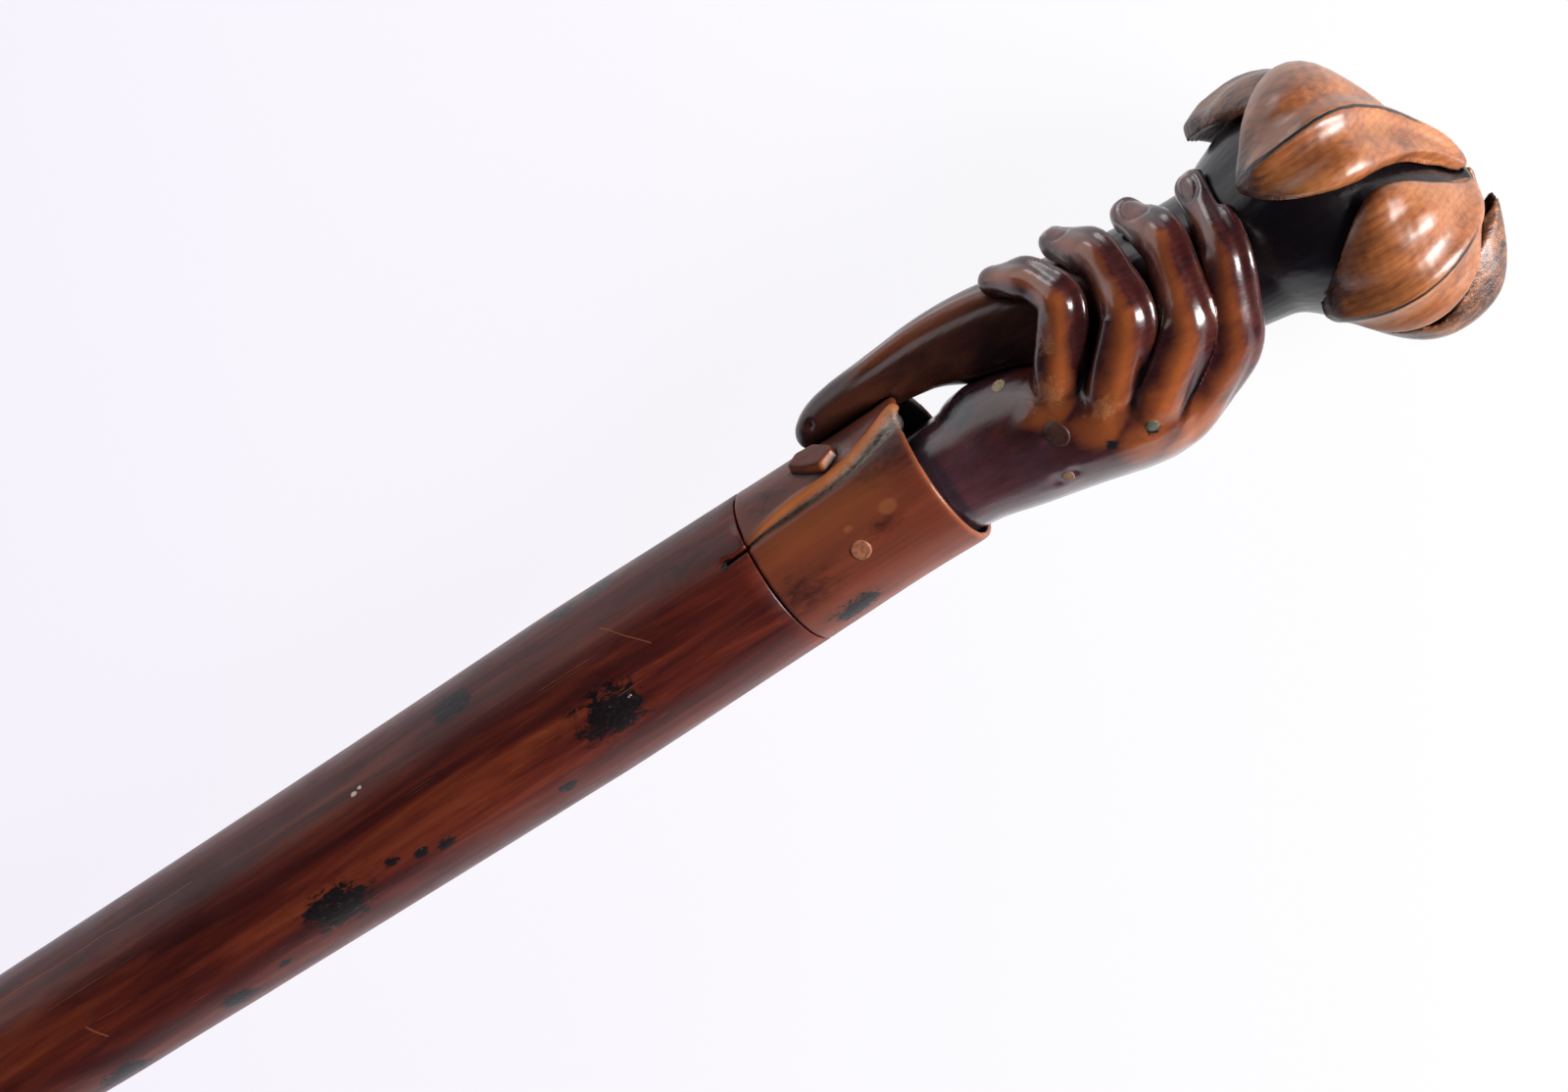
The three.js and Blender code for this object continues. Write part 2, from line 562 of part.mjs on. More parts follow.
// A peg's bar stands proud of the carving until the carving's own surface trims it.
function pegBar(name, gap = 0) {
  const { at, from } = PEGS[name];
  const [top, root] = (name === "cuff_peg" ? [at, from] : [at, from].map(pastRim)).map((p) => V(...p));
  const inwards = root.clone().sub(top).normalize();
  const [proud, length] = [6, PEG_LENGTH + gap];
  const bar = new THREE.CylinderGeometry(PEG_RADIUS + gap, PEG_RADIUS + gap, length + proud, 14);
  bar.applyQuaternion(new THREE.Quaternion().setFromUnitVectors(V(0, 1, 0), inwards));
  const centre = top.clone().addScaledVector(inwards, (length - proud) / 2);
  return solid(bar.translate(centre.x, centre.y, centre.z));
}

// The metal cup on the foot of the shank, and the wear plate in its end.
const footX = -SHANK_LENGTH;
const plateX = footX + FOOT_THICKNESS / 2; // the plate's flange meets the ferrule here
const mouth = spigotX - FIT_GAP;
const slopeFrom = [plateX + 0.3, FERRULE_END_RADIUS];
const slopeTo = [mouth - 3.7, SHANK_END_RADIUS - 0.15]; // where the bead at the mouth begins
function makeFerrule() {
  const bead = 0.25;
  return solid(turned([
    [plateX, FERRULE_END_RADIUS - FERRULE_WALL],
    [plateX, FERRULE_END_RADIUS - 0.3],
    slopeFrom,
    slopeTo,
    [mouth - 2.9, SHANK_END_RADIUS + bead],
    [mouth - 1.3, SHANK_END_RADIUS + bead],
    [mouth, SHANK_END_RADIUS - 0.1],
    [mouth, SHANK_END_RADIUS - FERRULE_WALL],
    [plateX, FERRULE_END_RADIUS - FERRULE_WALL],
  ], 24));
}

function makeFoot() {
  const seat = FERRULE_END_RADIUS - FERRULE_WALL - DOWEL_GAP;
  const step = plateX - DOWEL_GAP;
  return solid(turned([
    [footX, 0],
    [footX, FERRULE_END_RADIUS - 1],
    [footX + 0.8, FERRULE_END_RADIUS - 0.2],
    [step, FERRULE_END_RADIUS - 0.2],
    [step, seat],
    [footX + FOOT_THICKNESS, seat],
    [footX + FOOT_THICKNESS, 0],
  ], 24));
}

// The two pins go through the ferrule's wall into the spigot, from either side.
const pinX = spigotX - FERRULE_LENGTH * 0.4;
const pinShare = (pinX - slopeFrom[0]) / (slopeTo[0] - slopeFrom[0]);
const pinEnd = mix(slopeFrom[1], slopeTo[1], pinShare) + FERRULE_PIN_PROUD;
function pinBody(side, gap = 0) {
  const radius = FERRULE_PIN_RADIUS + gap;
  const pin = new THREE.CylinderGeometry(radius, radius, FERRULE_PIN_LENGTH + 2 * gap, 12);
  const middle = pinEnd - FERRULE_PIN_LENGTH / 2;
  return solid(pin.translate(pinX, side * middle, 0));
}

// The finishes, and the pieces one after another, each cut by what is let into it.
const DARK_WOOD = { colour: 0x3b1c17, roughness: 0.4 };
const SHANK_WOOD = { colour: 0x6a2b1c, roughness: 0.35 };
const STALK_WOOD = { colour: 0x1d1413, roughness: 0.3 };
const LEAF_WOOD = { colour: 0x8a4526, roughness: 0.4 };
const BEECH = { colour: 0xb08a5c, roughness: 0.8 };
const PEG_WOOD = { colour: 0xcdb58c, roughness: 0.6 };
const BRASS = { colour: 0xb08d4a, roughness: 0.35, metalness: 1 };
const STEEL = { colour: 0x6d6a66, roughness: 0.45, metalness: 1 };

const pinHoles = [pinBody(1, DOWEL_GAP), pinBody(-1, DOWEL_GAP)];
const pegHole = (name) => pegBar(name, DOWEL_GAP);
const slit = slitTool();
const grownStalk = makeStalk(FIT_GAP);

add("shank", cut(makeShank(), dowelHole(), slit, ...pinHoles), SHANK_WOOD);
add("handle_dowel", solid(rod(DOWEL_RADIUS, dowelX0, dowelX1)), BEECH);

const cuffHoles = [dowelHole(), slit, grownStalk, makeButton(DOWEL_GAP), pegHole("cuff_peg")];
add("cuff", cut(makeCuff(), ...cuffHoles), DARK_WOOD);
add("cuff_button", makeButton(), DARK_WOOD);

const handPegs = Object.keys(PEGS).filter((name) => name.startsWith("hand"));
const hand = cut(makeHand(), sleeveWall(), grownStalk, dowelHole(), ...handPegs.map(pegHole));
add("hand", trimmed(hand), DARK_WOOD);
add("stalk", makeStalk(), STALK_WOOD);

// Where leaves lap, the one on top stays whole and cuts the ones under it.
const grownLeaf = (name) => makeLeaf(LEAVES[name], FIT_GAP);
const LYING_OVER = {
  leaf_front: [],
  leaf_middle: ["leaf_front"],
  leaf_rear: ["leaf_front"],
  leaf_flared: ["leaf_middle", "leaf_front"],
  leaf_under: ["leaf_flared", "leaf_rear", "leaf_front", "leaf_middle"],
};
for (const [name, over] of Object.entries(LYING_OVER)) {
  const leaf = cut(makeLeaf(LEAVES[name]), grownStalk, ...over.map(grownLeaf));
  add(name, trimmed(leaf), LEAF_WOOD);
}

for (const name of handPegs) add(name, pegBar(name).intersect(makeHand()), PEG_WOOD);
add("cuff_peg", pegBar("cuff_peg").intersect(makeCuff()), PEG_WOOD);

add("ferrule", cut(makeFerrule(), ...pinHoles), BRASS);
add("foot", makeFoot(), STEEL);
add("ferrule_pin_1", pinBody(1), BRASS);
add("ferrule_pin_2", pinBody(-1), BRASS);

// Laid down: the foot's edge and the lowest leaf touch the table, and the origin is under the middle.
const lowest = (rise) => {
  stick.rotation.y = rise;
  stick.updateMatrixWorld(true);
  const box = (name) => new THREE.Box3().setFromObject(stick.getObjectByName(name), true).min.z;
  return box("leaf_under") - box("foot");
};
let [level, steep] = [0, 0.1];
for (let i = 0; i < 40; i++) {
  const half = (level + steep) / 2;
  if (lowest(-half) < 0) level = half;
  else steep = half;
}
stick.rotation.y = -level;

const part = new THREE.Group();
part.add(stick);
part.updateMatrixWorld(true);
const whole = new THREE.Box3().setFromObject(part, true);
const middle = whole.getCenter(V(0, 0, 0));
stick.position.set(-middle.x, -middle.y, -whole.min.z);

export default part;
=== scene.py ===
"""A carved hardwood walking stick on a pale floor: shank, buttoned cuff, a hand that grips a dark stalk,
and a head of folded leaves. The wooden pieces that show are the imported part's own solids with a fine
skin; the button and the ends of the pegs are modelled anew, and the metal pieces stay as packed."""

import json
import math
from contextlib import contextmanager

import bmesh
import bpy
import numpy as np
from mathutils import Matrix, Vector
from mathutils.bvhtree import BVHTree


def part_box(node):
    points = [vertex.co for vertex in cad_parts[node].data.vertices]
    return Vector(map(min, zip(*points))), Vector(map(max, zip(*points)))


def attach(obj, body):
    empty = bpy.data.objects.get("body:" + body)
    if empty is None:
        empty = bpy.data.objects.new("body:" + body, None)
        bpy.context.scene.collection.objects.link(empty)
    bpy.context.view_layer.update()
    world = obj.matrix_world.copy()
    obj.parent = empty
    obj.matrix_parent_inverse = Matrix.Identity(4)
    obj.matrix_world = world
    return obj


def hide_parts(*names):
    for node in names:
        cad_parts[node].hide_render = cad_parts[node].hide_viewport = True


MM = 0.001
BODY = "root"

scene = bpy.context.scene
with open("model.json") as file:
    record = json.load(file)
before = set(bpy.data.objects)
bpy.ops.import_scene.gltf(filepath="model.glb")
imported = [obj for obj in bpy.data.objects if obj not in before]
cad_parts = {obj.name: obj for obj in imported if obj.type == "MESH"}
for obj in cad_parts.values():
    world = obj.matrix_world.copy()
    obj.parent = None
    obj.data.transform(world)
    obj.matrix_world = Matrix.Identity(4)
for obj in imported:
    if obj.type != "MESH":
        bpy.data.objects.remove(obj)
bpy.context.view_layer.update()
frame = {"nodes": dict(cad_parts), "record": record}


# The stick's own frame: the seam between shank and cuff is its origin, X runs along the axis to the
# leaves, Y is across, and Z looks out of the side that shows. Lengths in it are millimetres.
DOWEL_PAST_SEAM = 6.25 * MM  # the hidden dowel reaches further into the wrist than into the shank


def centre_of(node):
    """The middle of a node's box."""
    low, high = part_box(node)
    return (low + high) / 2


ALONG = (centre_of("handle_dowel") - centre_of("foot")).normalized()
ACROSS = Vector((0, 1, 0))
OUT = ALONG.cross(ACROSS)
SEAM = centre_of("handle_dowel") - DOWEL_PAST_SEAM * ALONG
STICK = Matrix((ALONG, ACROSS, OUT))  # turns the floor's directions into the stick's
STICK_TURN = np.array(STICK)


def in_stick(points):
    """Places on the floor's frame, in metres, as places in the stick's frame, in millimetres."""
    return (points - np.array(SEAM)) @ STICK_TURN.T / MM


# The camera, at the photograph's angle, with its distances in millimetres.
CAMERA_DISTANCE = 800
CAMERA_LENS = 109.8
CAMERA_SIDE = math.radians(16)  # how far it looks from the head's side
CAMERA_ROLL = math.radians(32.88)  # how steeply the stick climbs in the picture
CAMERA_DROP = 3.28  # the seam lies this far under the picture's middle

SIGHT = math.sin(CAMERA_SIDE) * ALONG + math.cos(CAMERA_SIDE) * OUT
LEVEL = math.cos(CAMERA_SIDE) * ALONG - math.sin(CAMERA_SIDE) * OUT
RIGHT = math.cos(CAMERA_ROLL) * LEVEL - math.sin(CAMERA_ROLL) * ACROSS
UP = math.sin(CAMERA_ROLL) * LEVEL + math.cos(CAMERA_ROLL) * ACROSS


def place_camera():
    """The photograph's camera, which looks at the seam."""
    camera = bpy.data.objects.new("camera", bpy.data.cameras.new("camera"))
    scene.collection.objects.link(camera)
    camera.data.lens = CAMERA_LENS
    camera.data.sensor_width = 36
    camera.data.clip_end = 10
    place = SEAM + MM * (CAMERA_DISTANCE * SIGHT + CAMERA_DROP * UP)
    camera.matrix_world = Matrix.Translation(place) @ Matrix((RIGHT, UP, SIGHT)).transposed().to_4x4()
    scene.camera = camera


place_camera()


# Materials.
def colour(code):
    """An sRGB hex value as the linear colour that a shader takes."""
    parts = [int(code[i:i + 2], 16) / 255 for i in (1, 3, 5)]
    linear = [p / 12.92 if p <= 0.04045 else ((p + 0.055) / 1.055) ** 2.4 for p in parts]
    return (*linear, 1)


def add(tree, kind, inputs=(), output=0, stops=(), **settings):
    """One node with its settings, its links and its colour stops; gives the output that is asked for.
    An input is found by its name or its number. It takes a value, a hex colour, an output or the name of
    a field that the skin carries."""
    node = tree.nodes.new("ShaderNode" + kind)
    for name, value in settings.items():
        setattr(node, name, value)
    if stops:
        elements = node.color_ramp.elements
        while len(elements) < len(stops):
            elements.new(0.5)
        for element, (place, tint) in zip(elements, stops):
            element.position = place
            element.color = colour(tint) if isinstance(tint, str) else (tint, tint, tint, 1)
    pairs = inputs.items() if isinstance(inputs, dict) else enumerate(inputs)
    for key, value in pairs:
        socket = node.inputs[key]
        if isinstance(value, str) and value[0] != "#":
            value = add(tree, "Attribute", output="Fac", attribute_name=value)
        if isinstance(value, bpy.types.NodeSocket):
            tree.links.new(value, socket)
        elif isinstance(value, str):
            socket.default_value = colour(value)
        else:
            socket.default_value = value
    return node.outputs[output]


def stick_place(tree):
    """Where a point of the surface lies in the stick's frame, in millimetres."""
    objects = add(tree, "TexCoord", output="Object")
    return add(tree, "Mapping", {
        "Vector": objects,
        "Scale": (1 / MM,) * 3,
        "Rotation": STICK.to_euler(),
        "Location": -(STICK @ SEAM) / MM,
    }, vector_type="POINT")


def lumps(place, spacing, detail=3.0, rough=0.5, distortion=0.0):
    """An uneven field whose lumps are about so many millimetres apart in each direction."""
    tree = place.id_data
    stretched = add(tree, "Mapping", {"Vector": place, "Scale": tuple(1 / s for s in spacing)})
    return add(tree, "TexNoise", {
        "Vector": stretched,
        "Scale": 1.0,
        "Detail": detail,
        "Roughness": rough,
        "Distortion": distortion,
    }, output="Fac")


RAGGEDNESS = 3.0  # how far an uneven field moves a spot's border, in sizes of the spot


def stain(tree, place, centre, size, ragged, bleed, longer):
    """A spot in the wood, longer along the grain: 1 in its heart and 0 from its size outwards, uneven at
    its border."""
    offset = add(tree, "VectorMath", [place, centre], operation="SUBTRACT")
    stretch = add(tree, "VectorMath", [offset, (1 / longer, 1, 1)], operation="MULTIPLY")
    away = add(tree, "VectorMath", [stretch], output="Value", operation="LENGTH")
    uneven = add(tree, "Math", [ragged, RAGGEDNESS * size, away], operation="MULTIPLY_ADD")
    border = size * (1 + RAGGEDNESS / 2)  # an uneven field's middle value is a half
    return add(tree, "MapRange", [uneven, border - bleed * size, border, 1.0, 0.0],
               interpolation_type="SMOOTHSTEP")


def stains(tree, place, spots, ragged, bleed=0.35, longer=1.35):
    """Several such spots as one field: each is a place and a size."""
    field = 0.0
    for centre, size in spots:
        one = stain(tree, place, centre, size, ragged, bleed, longer)
        field = add(tree, "Math", [field, one], operation="MAXIMUM")
    return field


SCRATCH_WAVER = 1.6  # millimetres that a scratch wanders, from one side to the other


def scratch(tree, place, start, end, width):
    """A thin mark between two places on the surface."""
    start, end = Vector(start), Vector(end)
    run = end - start
    side = run.cross(Vector((0, start.y + end.y, start.z + end.z))).normalized()
    offset = add(tree, "VectorMath", [place, (start + end) / 2], operation="SUBTRACT")
    across, along = (add(tree, "VectorMath", [offset, way], output="Value", operation="DOT_PRODUCT")
                     for way in (side, run.normalized()))
    bend = lumps(place, (9, 9, 9), detail=2)
    shifted = add(tree, "Math", [bend, SCRATCH_WAVER, across], operation="MULTIPLY_ADD")
    centred = add(tree, "Math", [shifted, SCRATCH_WAVER / 2], operation="SUBTRACT")
    within = []
    for distance, limit in ((centred, width), (along, run.length / 2)):
        size = add(tree, "Math", [distance], operation="ABSOLUTE")
        within.append(add(tree, "Math", [size, limit], operation="LESS_THAN"))
    return add(tree, "Math", within, operation="MULTIPLY")


def complete(made, place, tint, layers, dull=None, bright=None):
    """Gives a material its colour and its bumps, one upon another: each is a height field and its depth
    in millimetres. Where hands have worn it, its gloss comes and goes over a few millimetres."""
    tree = made.node_tree
    shader = tree.nodes["Principled BSDF"]
    tree.links.new(tint, shader.inputs["Base Color"])
    normal = None
    for height, depth in layers:
        inputs = {"Height": height, "Distance": abs(depth) * MM, "Strength": 1.0}
        if normal:
            inputs["Normal"] = normal
        normal = add(tree, "Bump", inputs, invert=depth < 0)
    tree.links.new(normal, shader.inputs["Normal"])
    if dull:
        worn = lumps(place, (7, 5, 5), detail=4, rough=0.65)
        level = add(tree, "MapRange", [worn, 0.3, 0.7, bright, dull])
        tree.links.new(level, shader.inputs["Roughness"])
    return made


def finish(name, roughness, metallic=0.0, shine=0.5, varnish=0.0, haze=0.15):
    """A new material with what is the same all over it, its node tree and its places."""
    made = bpy.data.materials.new(name)
    made.use_nodes = True
    shader = made.node_tree.nodes["Principled BSDF"]
    values = {"Roughness": roughness, "Metallic": metallic, "Specular IOR Level": shine,
              "Coat Weight": varnish, "Coat Roughness": haze}
    for socket, value in values.items():
        shader.inputs[socket].default_value = value
    return made, made.node_tree, stick_place(made.node_tree)


def paint(tree, tint, coats):
    """Coats of colour laid one over another. Each has its field, its colour, how strongly it covers and,
    unless they are 0 and 1, the values of the field at which it starts and is full."""
    for field, coat, strength, *span in coats:
        amount = add(tree, "MapRange", [field, *(span or (0.0, 1.0)), 0.0, strength])
        tint = add(tree, "MixRGB", [amount, tint, coat])
    return tint


def shank_wood():
    """Stained and varnished hardwood, straight grained: dark red, with brown streaks a few centimetres
    long, black knots where side shoots were lopped, and pale scratches from use. The cuff's is redder
    and lighter, with dust in its slit."""
    made, tree, place = finish("stained_shank_wood", 0.45, shine=0.2, varnish=0.2, haze=0.24)
    broad = lumps(place, (46, 5, 5), detail=5, rough=0.6, distortion=0.6)
    streak = lumps(place, (34, 1.5, 1.5), detail=4, rough=0.6)
    both = add(tree, "MixRGB", [0.28, broad, streak])
    tint = add(tree, "ValToRGB", [both], stops=[
        [0.3, "#290c0b"], [0.43, "#431611"], [0.52, "#582015"], [0.62, "#6e2f1b"], [0.75, "#834024"]])
    past_seam = add(tree, "SeparateXYZ", [place], output="X")
    on_cuff = add(tree, "Math", [past_seam, 0.0], operation="GREATER_THAN")
    ragged = lumps(place, (3.4, 1.7, 1.7), detail=6, rough=0.8, distortion=0.6)
    halos = stains(tree, place, KNOT_HALOS, ragged, bleed=1.4, longer=1.7)
    cores = stains(tree, place, KNOT_CORES, ragged, bleed=0.2, longer=1.6)
    specks = lumps(place, (0.8, 0.6, 0.6), detail=4, rough=0.75)
    crumb = add(tree, "ValToRGB", [specks], stops=[[0.4, "#0d0708"], [0.62, "#181012"], [0.72, "#5a4f48"]])
    hairlines = lumps(place, (90, 0.22, 0.22), detail=2, rough=0.4, distortion=0.1)
    hair = add(tree, "MapRange", [hairlines, 0.71, 0.76])
    for mark in SCRATCHES:
        hair = add(tree, "Math", [hair, scratch(tree, place, *mark)], operation="MAXIMUM")
    grit = lumps(place, (0.9, 0.6, 0.6), detail=4, rough=0.75)
    grit = add(tree, "MapRange", [grit, 0.28, 0.62])
    dust = add(tree, "Math", ["dusty", grit], operation="MULTIPLY")
    tint = paint(tree, tint, [
        (on_cuff, "#96533a", 0.28),
        (halos, "#1d0b10", 0.85),
        (cores, crumb, 1),
        (hair, "#a5653d", 0.4),
        (stains(tree, place, FLECKS, ragged, bleed=0.2), "#d8c4b0", 1),
        (stains(tree, place, PLUGS, 0.5, bleed=0.4), "#a8683f", 0.35),
        ("rubbed", "#a9602f", 1),
        # Painted shade, with dirt: the cuff's hollows and the wood next to the other pieces are darkened.
        ("sunk", "#120809", 1, 0.05, 0.4),
        ("near", "#0e0708", 0.9, 0.35, 0.9),
        (dust, "#a59d90", 1),
    ])
    fibre = lumps(place, (7, 0.3, 0.3), detail=2)
    crust = add(tree, "Math", [cores, specks], operation="MULTIPLY")
    return complete(made, place, tint, [(fibre, 0.012), (cores, -0.15), (crust, 0.15), (hair, -0.03)],
                    dull=0.5, bright=0.34)


def carved_wood(name, tones, worn, deep, lumpy, edges, **coat):
    """Stained hardwood cut with a knife: the hollows and the joints between pieces are darkened, part stain
    and part painted shade, and the stain has worn off where it is rubbed and along the edges."""
    made, tree, place = finish(name, 0.4, **coat)
    broad = lumps(place, lumpy, detail=5, rough=0.62, distortion=0.5)
    streak = lumps(place, (9, 0.8, 0.8), rough=0.6)
    both = add(tree, "MixRGB", [0.35, broad, streak])
    tint = add(tree, "ValToRGB", [both], stops=list(zip((0.33, 0.5, 0.67), tones)))
    bared = add(tree, "Math", [broad, 0.7, "rubbed"], operation="MULTIPLY_ADD")
    crumbs = lumps(place, (1.5, 1.2, 1.2), detail=4, rough=0.65)
    joint_dirt_and_shade = add(tree, "Math", [crumbs, 0.5, "near"], operation="MULTIPLY_ADD")
    tint = paint(tree, tint, [
        (bared, worn, 1, 0.5, 1.25),
        ("sunk", worn, edges, -0.5, -1.1),
        # Painted shade, with stain and dirt: the hollows and the wood next to other pieces are darkened.
        ("sunk", deep, 1, 0.05, 0.45),
        (joint_dirt_and_shade, deep, 0.9, 0.55, 1.05),
    ])
    return made, tree, place, tint


def hand_wood():
    """Dark stained hardwood, polished by the user's palm: painted shade makes it nearly black between the
    fingers; red brown on their flanks, orange along their backs, and a painted purple-grey sheen clouds the
    back of the hand."""
    made, tree, place, tint = carved_wood(
        "polished_hand_wood", tones=("#260f11", "#401916", "#5a281b"), worn="#a5572a",
        deep="#0a0506", lumpy=(11, 5, 5), edges=0.2, shine=0.4, varnish=0.7, haze=0.17)
    cloud = lumps(place, (7, 3, 3), detail=4, rough=0.6)
    sheen_clouds = add(tree, "Math", ["waxy", cloud], operation="MULTIPLY")
    grit = lumps(place, (1.4, 0.7, 0.7), detail=4, rough=0.7)
    dust = add(tree, "Math", ["dusty", grit], operation="MULTIPLY")
    ragged = lumps(place, (2.2, 1.8, 1.8), detail=5, rough=0.7)
    rings = add(tree, "TexWave", {"Vector": place, "Scale": 0.33, "Distortion": 3.0, "Detail": 2.0},
                output="Fac", wave_type="RINGS", rings_direction="SPHERICAL")
    heart = add(tree, "ValToRGB", [rings], stops=[[0.2, "#0a0809"], [0.8, "#241a1d"]])
    scuffs = stains(tree, place, HAND_SCUFFS, ragged, bleed=0.7)
    torn_grain = lumps(place, (0.8, 0.5, 0.5), detail=4, rough=0.7)
    scuffed = add(tree, "Math", [scuffs, torn_grain], operation="MULTIPLY")
    cut = add(tree, "MapRange", ["nail", 0.0, 2.0])
    edge = add(tree, "ValToRGB", [cut], stops=[[0.45, 0.0], [0.53, 1.0], [0.6, 0.0]])
    tint = paint(tree, tint, [
        # Painted sheen: a purple-grey haze over the back of the hand.
        (sheen_clouds, "#5c4450", 0.8),
        (dust, "#a08f86", 0.8),
        (stains(tree, place, HAND_KNOTS, ragged, bleed=0.6), heart, 1),
        (scuffed, "#b3764a", 1),
        (stains(tree, place, HAND_MARKS, ragged, bleed=0.4), "#171a1c", 1),
        ("nail", "#6e2f22", 0.55, 1.0, 0.85),
        # Painted shade: a dark line in the groove round each nail.
        (edge, "#0d0708", 0.85),
    ])
    fibre = lumps(place, (4, 0.35, 0.35))
    pores = lumps(place, (1.2, 0.4, 0.4), detail=2)
    return complete(made, place, tint, [(fibre, 0.02), (pores, 0.01), (scuffed, -0.1)],
                    dull=0.33, bright=0.19)


def stalk_wood():
    """Hardwood stained almost black and varnished; brown shows where fingers and pockets rub it."""
    made, tree, place, tint = carved_wood(
        "blackened_stalk_wood", tones=("#120b0c", "#221315", "#331c1b"), worn="#7d4226",
        deep="#0d0a0d", lumpy=(18, 4, 4), edges=0.25, shine=0.3, varnish=0.3, haze=0.25)
    chisel = lumps(place, (24, 2.2, 2.2), detail=1)
    fibre = lumps(place, (5, 0.35, 0.35))
    return complete(made, place, tint, [(chisel, 0.2), (fibre, 0.015)], dull=0.36, bright=0.22)


def leaf_wood():
    """Varnished hardwood with little stain left: orange, with the growth rings cut across as contour
    lines a millimetre apart, a black line of painted shade in the groove down each rib, and darker tips."""
    made, tree, place, tint = carved_wood(
        "varnished_leaf_wood", tones=("#5a2f18", "#96562c", "#b0713d"), worn="#c98445",
        deep="#1c0c09", lumpy=(16, 9, 9), edges=0.7, shine=0.55, varnish=0.45, haze=0.3)
    from_pith = add(tree, "Mapping", {
        "Vector": place, "Location": (0.0, 24.0, 30.0), "Rotation": (0.0, 0.25, 0.2),
    })
    rings = add(tree, "TexWave", {
        "Vector": from_pith, "Scale": 0.26, "Distortion": 4.0, "Detail": 2.0, "Detail Scale": 0.12,
    }, output="Fac", wave_type="RINGS", rings_direction="X")
    line = add(tree, "ValToRGB", [rings], stops=[[0.0, 0.0], [0.72, 0.12], [0.92, 1.0]])
    gouge = lumps(place, (6, 1.8, 1.8), detail=4, rough=0.7)
    patchy = add(tree, "Math", [gouge, 1.7, "smoke"], operation="MULTIPLY_ADD")
    uneven = lumps(place, (3, 3, 3))
    wandering = add(tree, "Math", [uneven, RIB_WAVER, "rib"], operation="MULTIPLY_ADD")
    centred = add(tree, "Math", [wandering, RIB_WAVER / 2], operation="SUBTRACT")
    aside = add(tree, "Math", [centred], operation="ABSOLUTE")
    groove = add(tree, "MapRange", [aside, 0.42, 0.2])
    groove = add(tree, "Math", [groove, "rib_shows"], operation="MULTIPLY")
    tint = paint(tree, tint, [
        (line, "#4a2412", 0.2),
        (patchy, "#1c0d0b", 1, 1.1, 1.7),
        # Painted shade: the groove down each rib is painted black.
        (groove, "#0c0707", 1),
    ])
    fibre = lumps(place, (5, 0.5, 0.5))
    chisel = lumps(place, (7, 5, 5), detail=2)
    gouged = add(tree, "Math", [gouge, "smoke"], operation="MULTIPLY")
    return complete(made, place, tint, [(chisel, 0.3), (gouged, -1.0), (groove, -0.4), (fibre, 0.015)],
                    dull=0.44, bright=0.34)


def peg_wood():
    """Bare end grain of thin pegs, each darkened in its own way by polish and dirt."""
    made, tree, place = finish("bare_peg_wood", 0.5)
    grain = lumps(place, (0.7, 0.7, 0.7))
    shade = add(tree, "ValToRGB", [grain], stops=[[0.35, "#c4bcb0"], [0.65, "#ffffff"]])
    tone = add(tree, "ValToRGB", ["tone"], stops=[
        [0.0, "#d6bd97"], [0.2, "#9a5f42"], [0.4, "#8a6a4c"], [0.6, "#4a2920"], [0.8, "#585a4e"]])
    tint = add(tree, "MixRGB", [1.0, tone, shade], blend_type="MULTIPLY")
    return complete(made, place, tint, [(grain, 0.03)])


def beech():
    """Turned beech, bare: pale, with short brown flecks."""
    made, tree, place = finish("turned_beech", 0.7)
    fleck = lumps(place, (3, 0.35, 0.35), rough=0.6)
    tint = add(tree, "ValToRGB", [fleck], stops=[[0.35, "#946f42"], [0.5, "#b08a5c"], [0.7, "#c19a6a"]])
    return complete(made, place, tint, [(fleck, 0.02)])


def aged_brass():
    """Spun brass, tarnished brown in some patches and brighter in others."""
    made, tree, place = finish("aged_brass", 0.35, metallic=1.0)
    patch = lumps(place, (6, 5, 5), detail=5, rough=0.65)
    turned = lumps(place, (0.35, 9, 9), detail=2)
    tint = add(tree, "ValToRGB", [patch], stops=[[0.35, "#6f552c"], [0.5, "#a5843f"], [0.66, "#c3a257"]])
    return complete(made, place, tint, [(turned, 0.015), (patch, 0.02)], dull=0.5, bright=0.26)


def scuffed_steel():
    """Plain steel that strikes the ground: grey, with brown rust in patches."""
    made, tree, place = finish("scuffed_steel", 0.5, metallic=1.0)
    patch = lumps(place, (3, 3, 3), detail=5, rough=0.7)
    tint = add(tree, "ValToRGB", [patch], stops=[[0.36, "#4a3a30"], [0.48, "#6d6a66"], [0.7, "#8b8985"]])
    return complete(made, place, tint, [(patch, 0.08)], dull=0.62, bright=0.35)


# Marks in the wood, as the photograph shows them.
ROD = 14.6  # the shank's radius near the seam, where they lie


def on_shank(spots):
    """Spots from their distance along, angle and size and, where the shank is thinner, by how much."""
    placed = []
    for x, angle, size, *thinner in spots:
        turn, radius = math.radians(angle), ROD - sum(thinner)
        placed.append(((x, radius * math.sin(turn), radius * math.cos(turn)), size))
    return placed


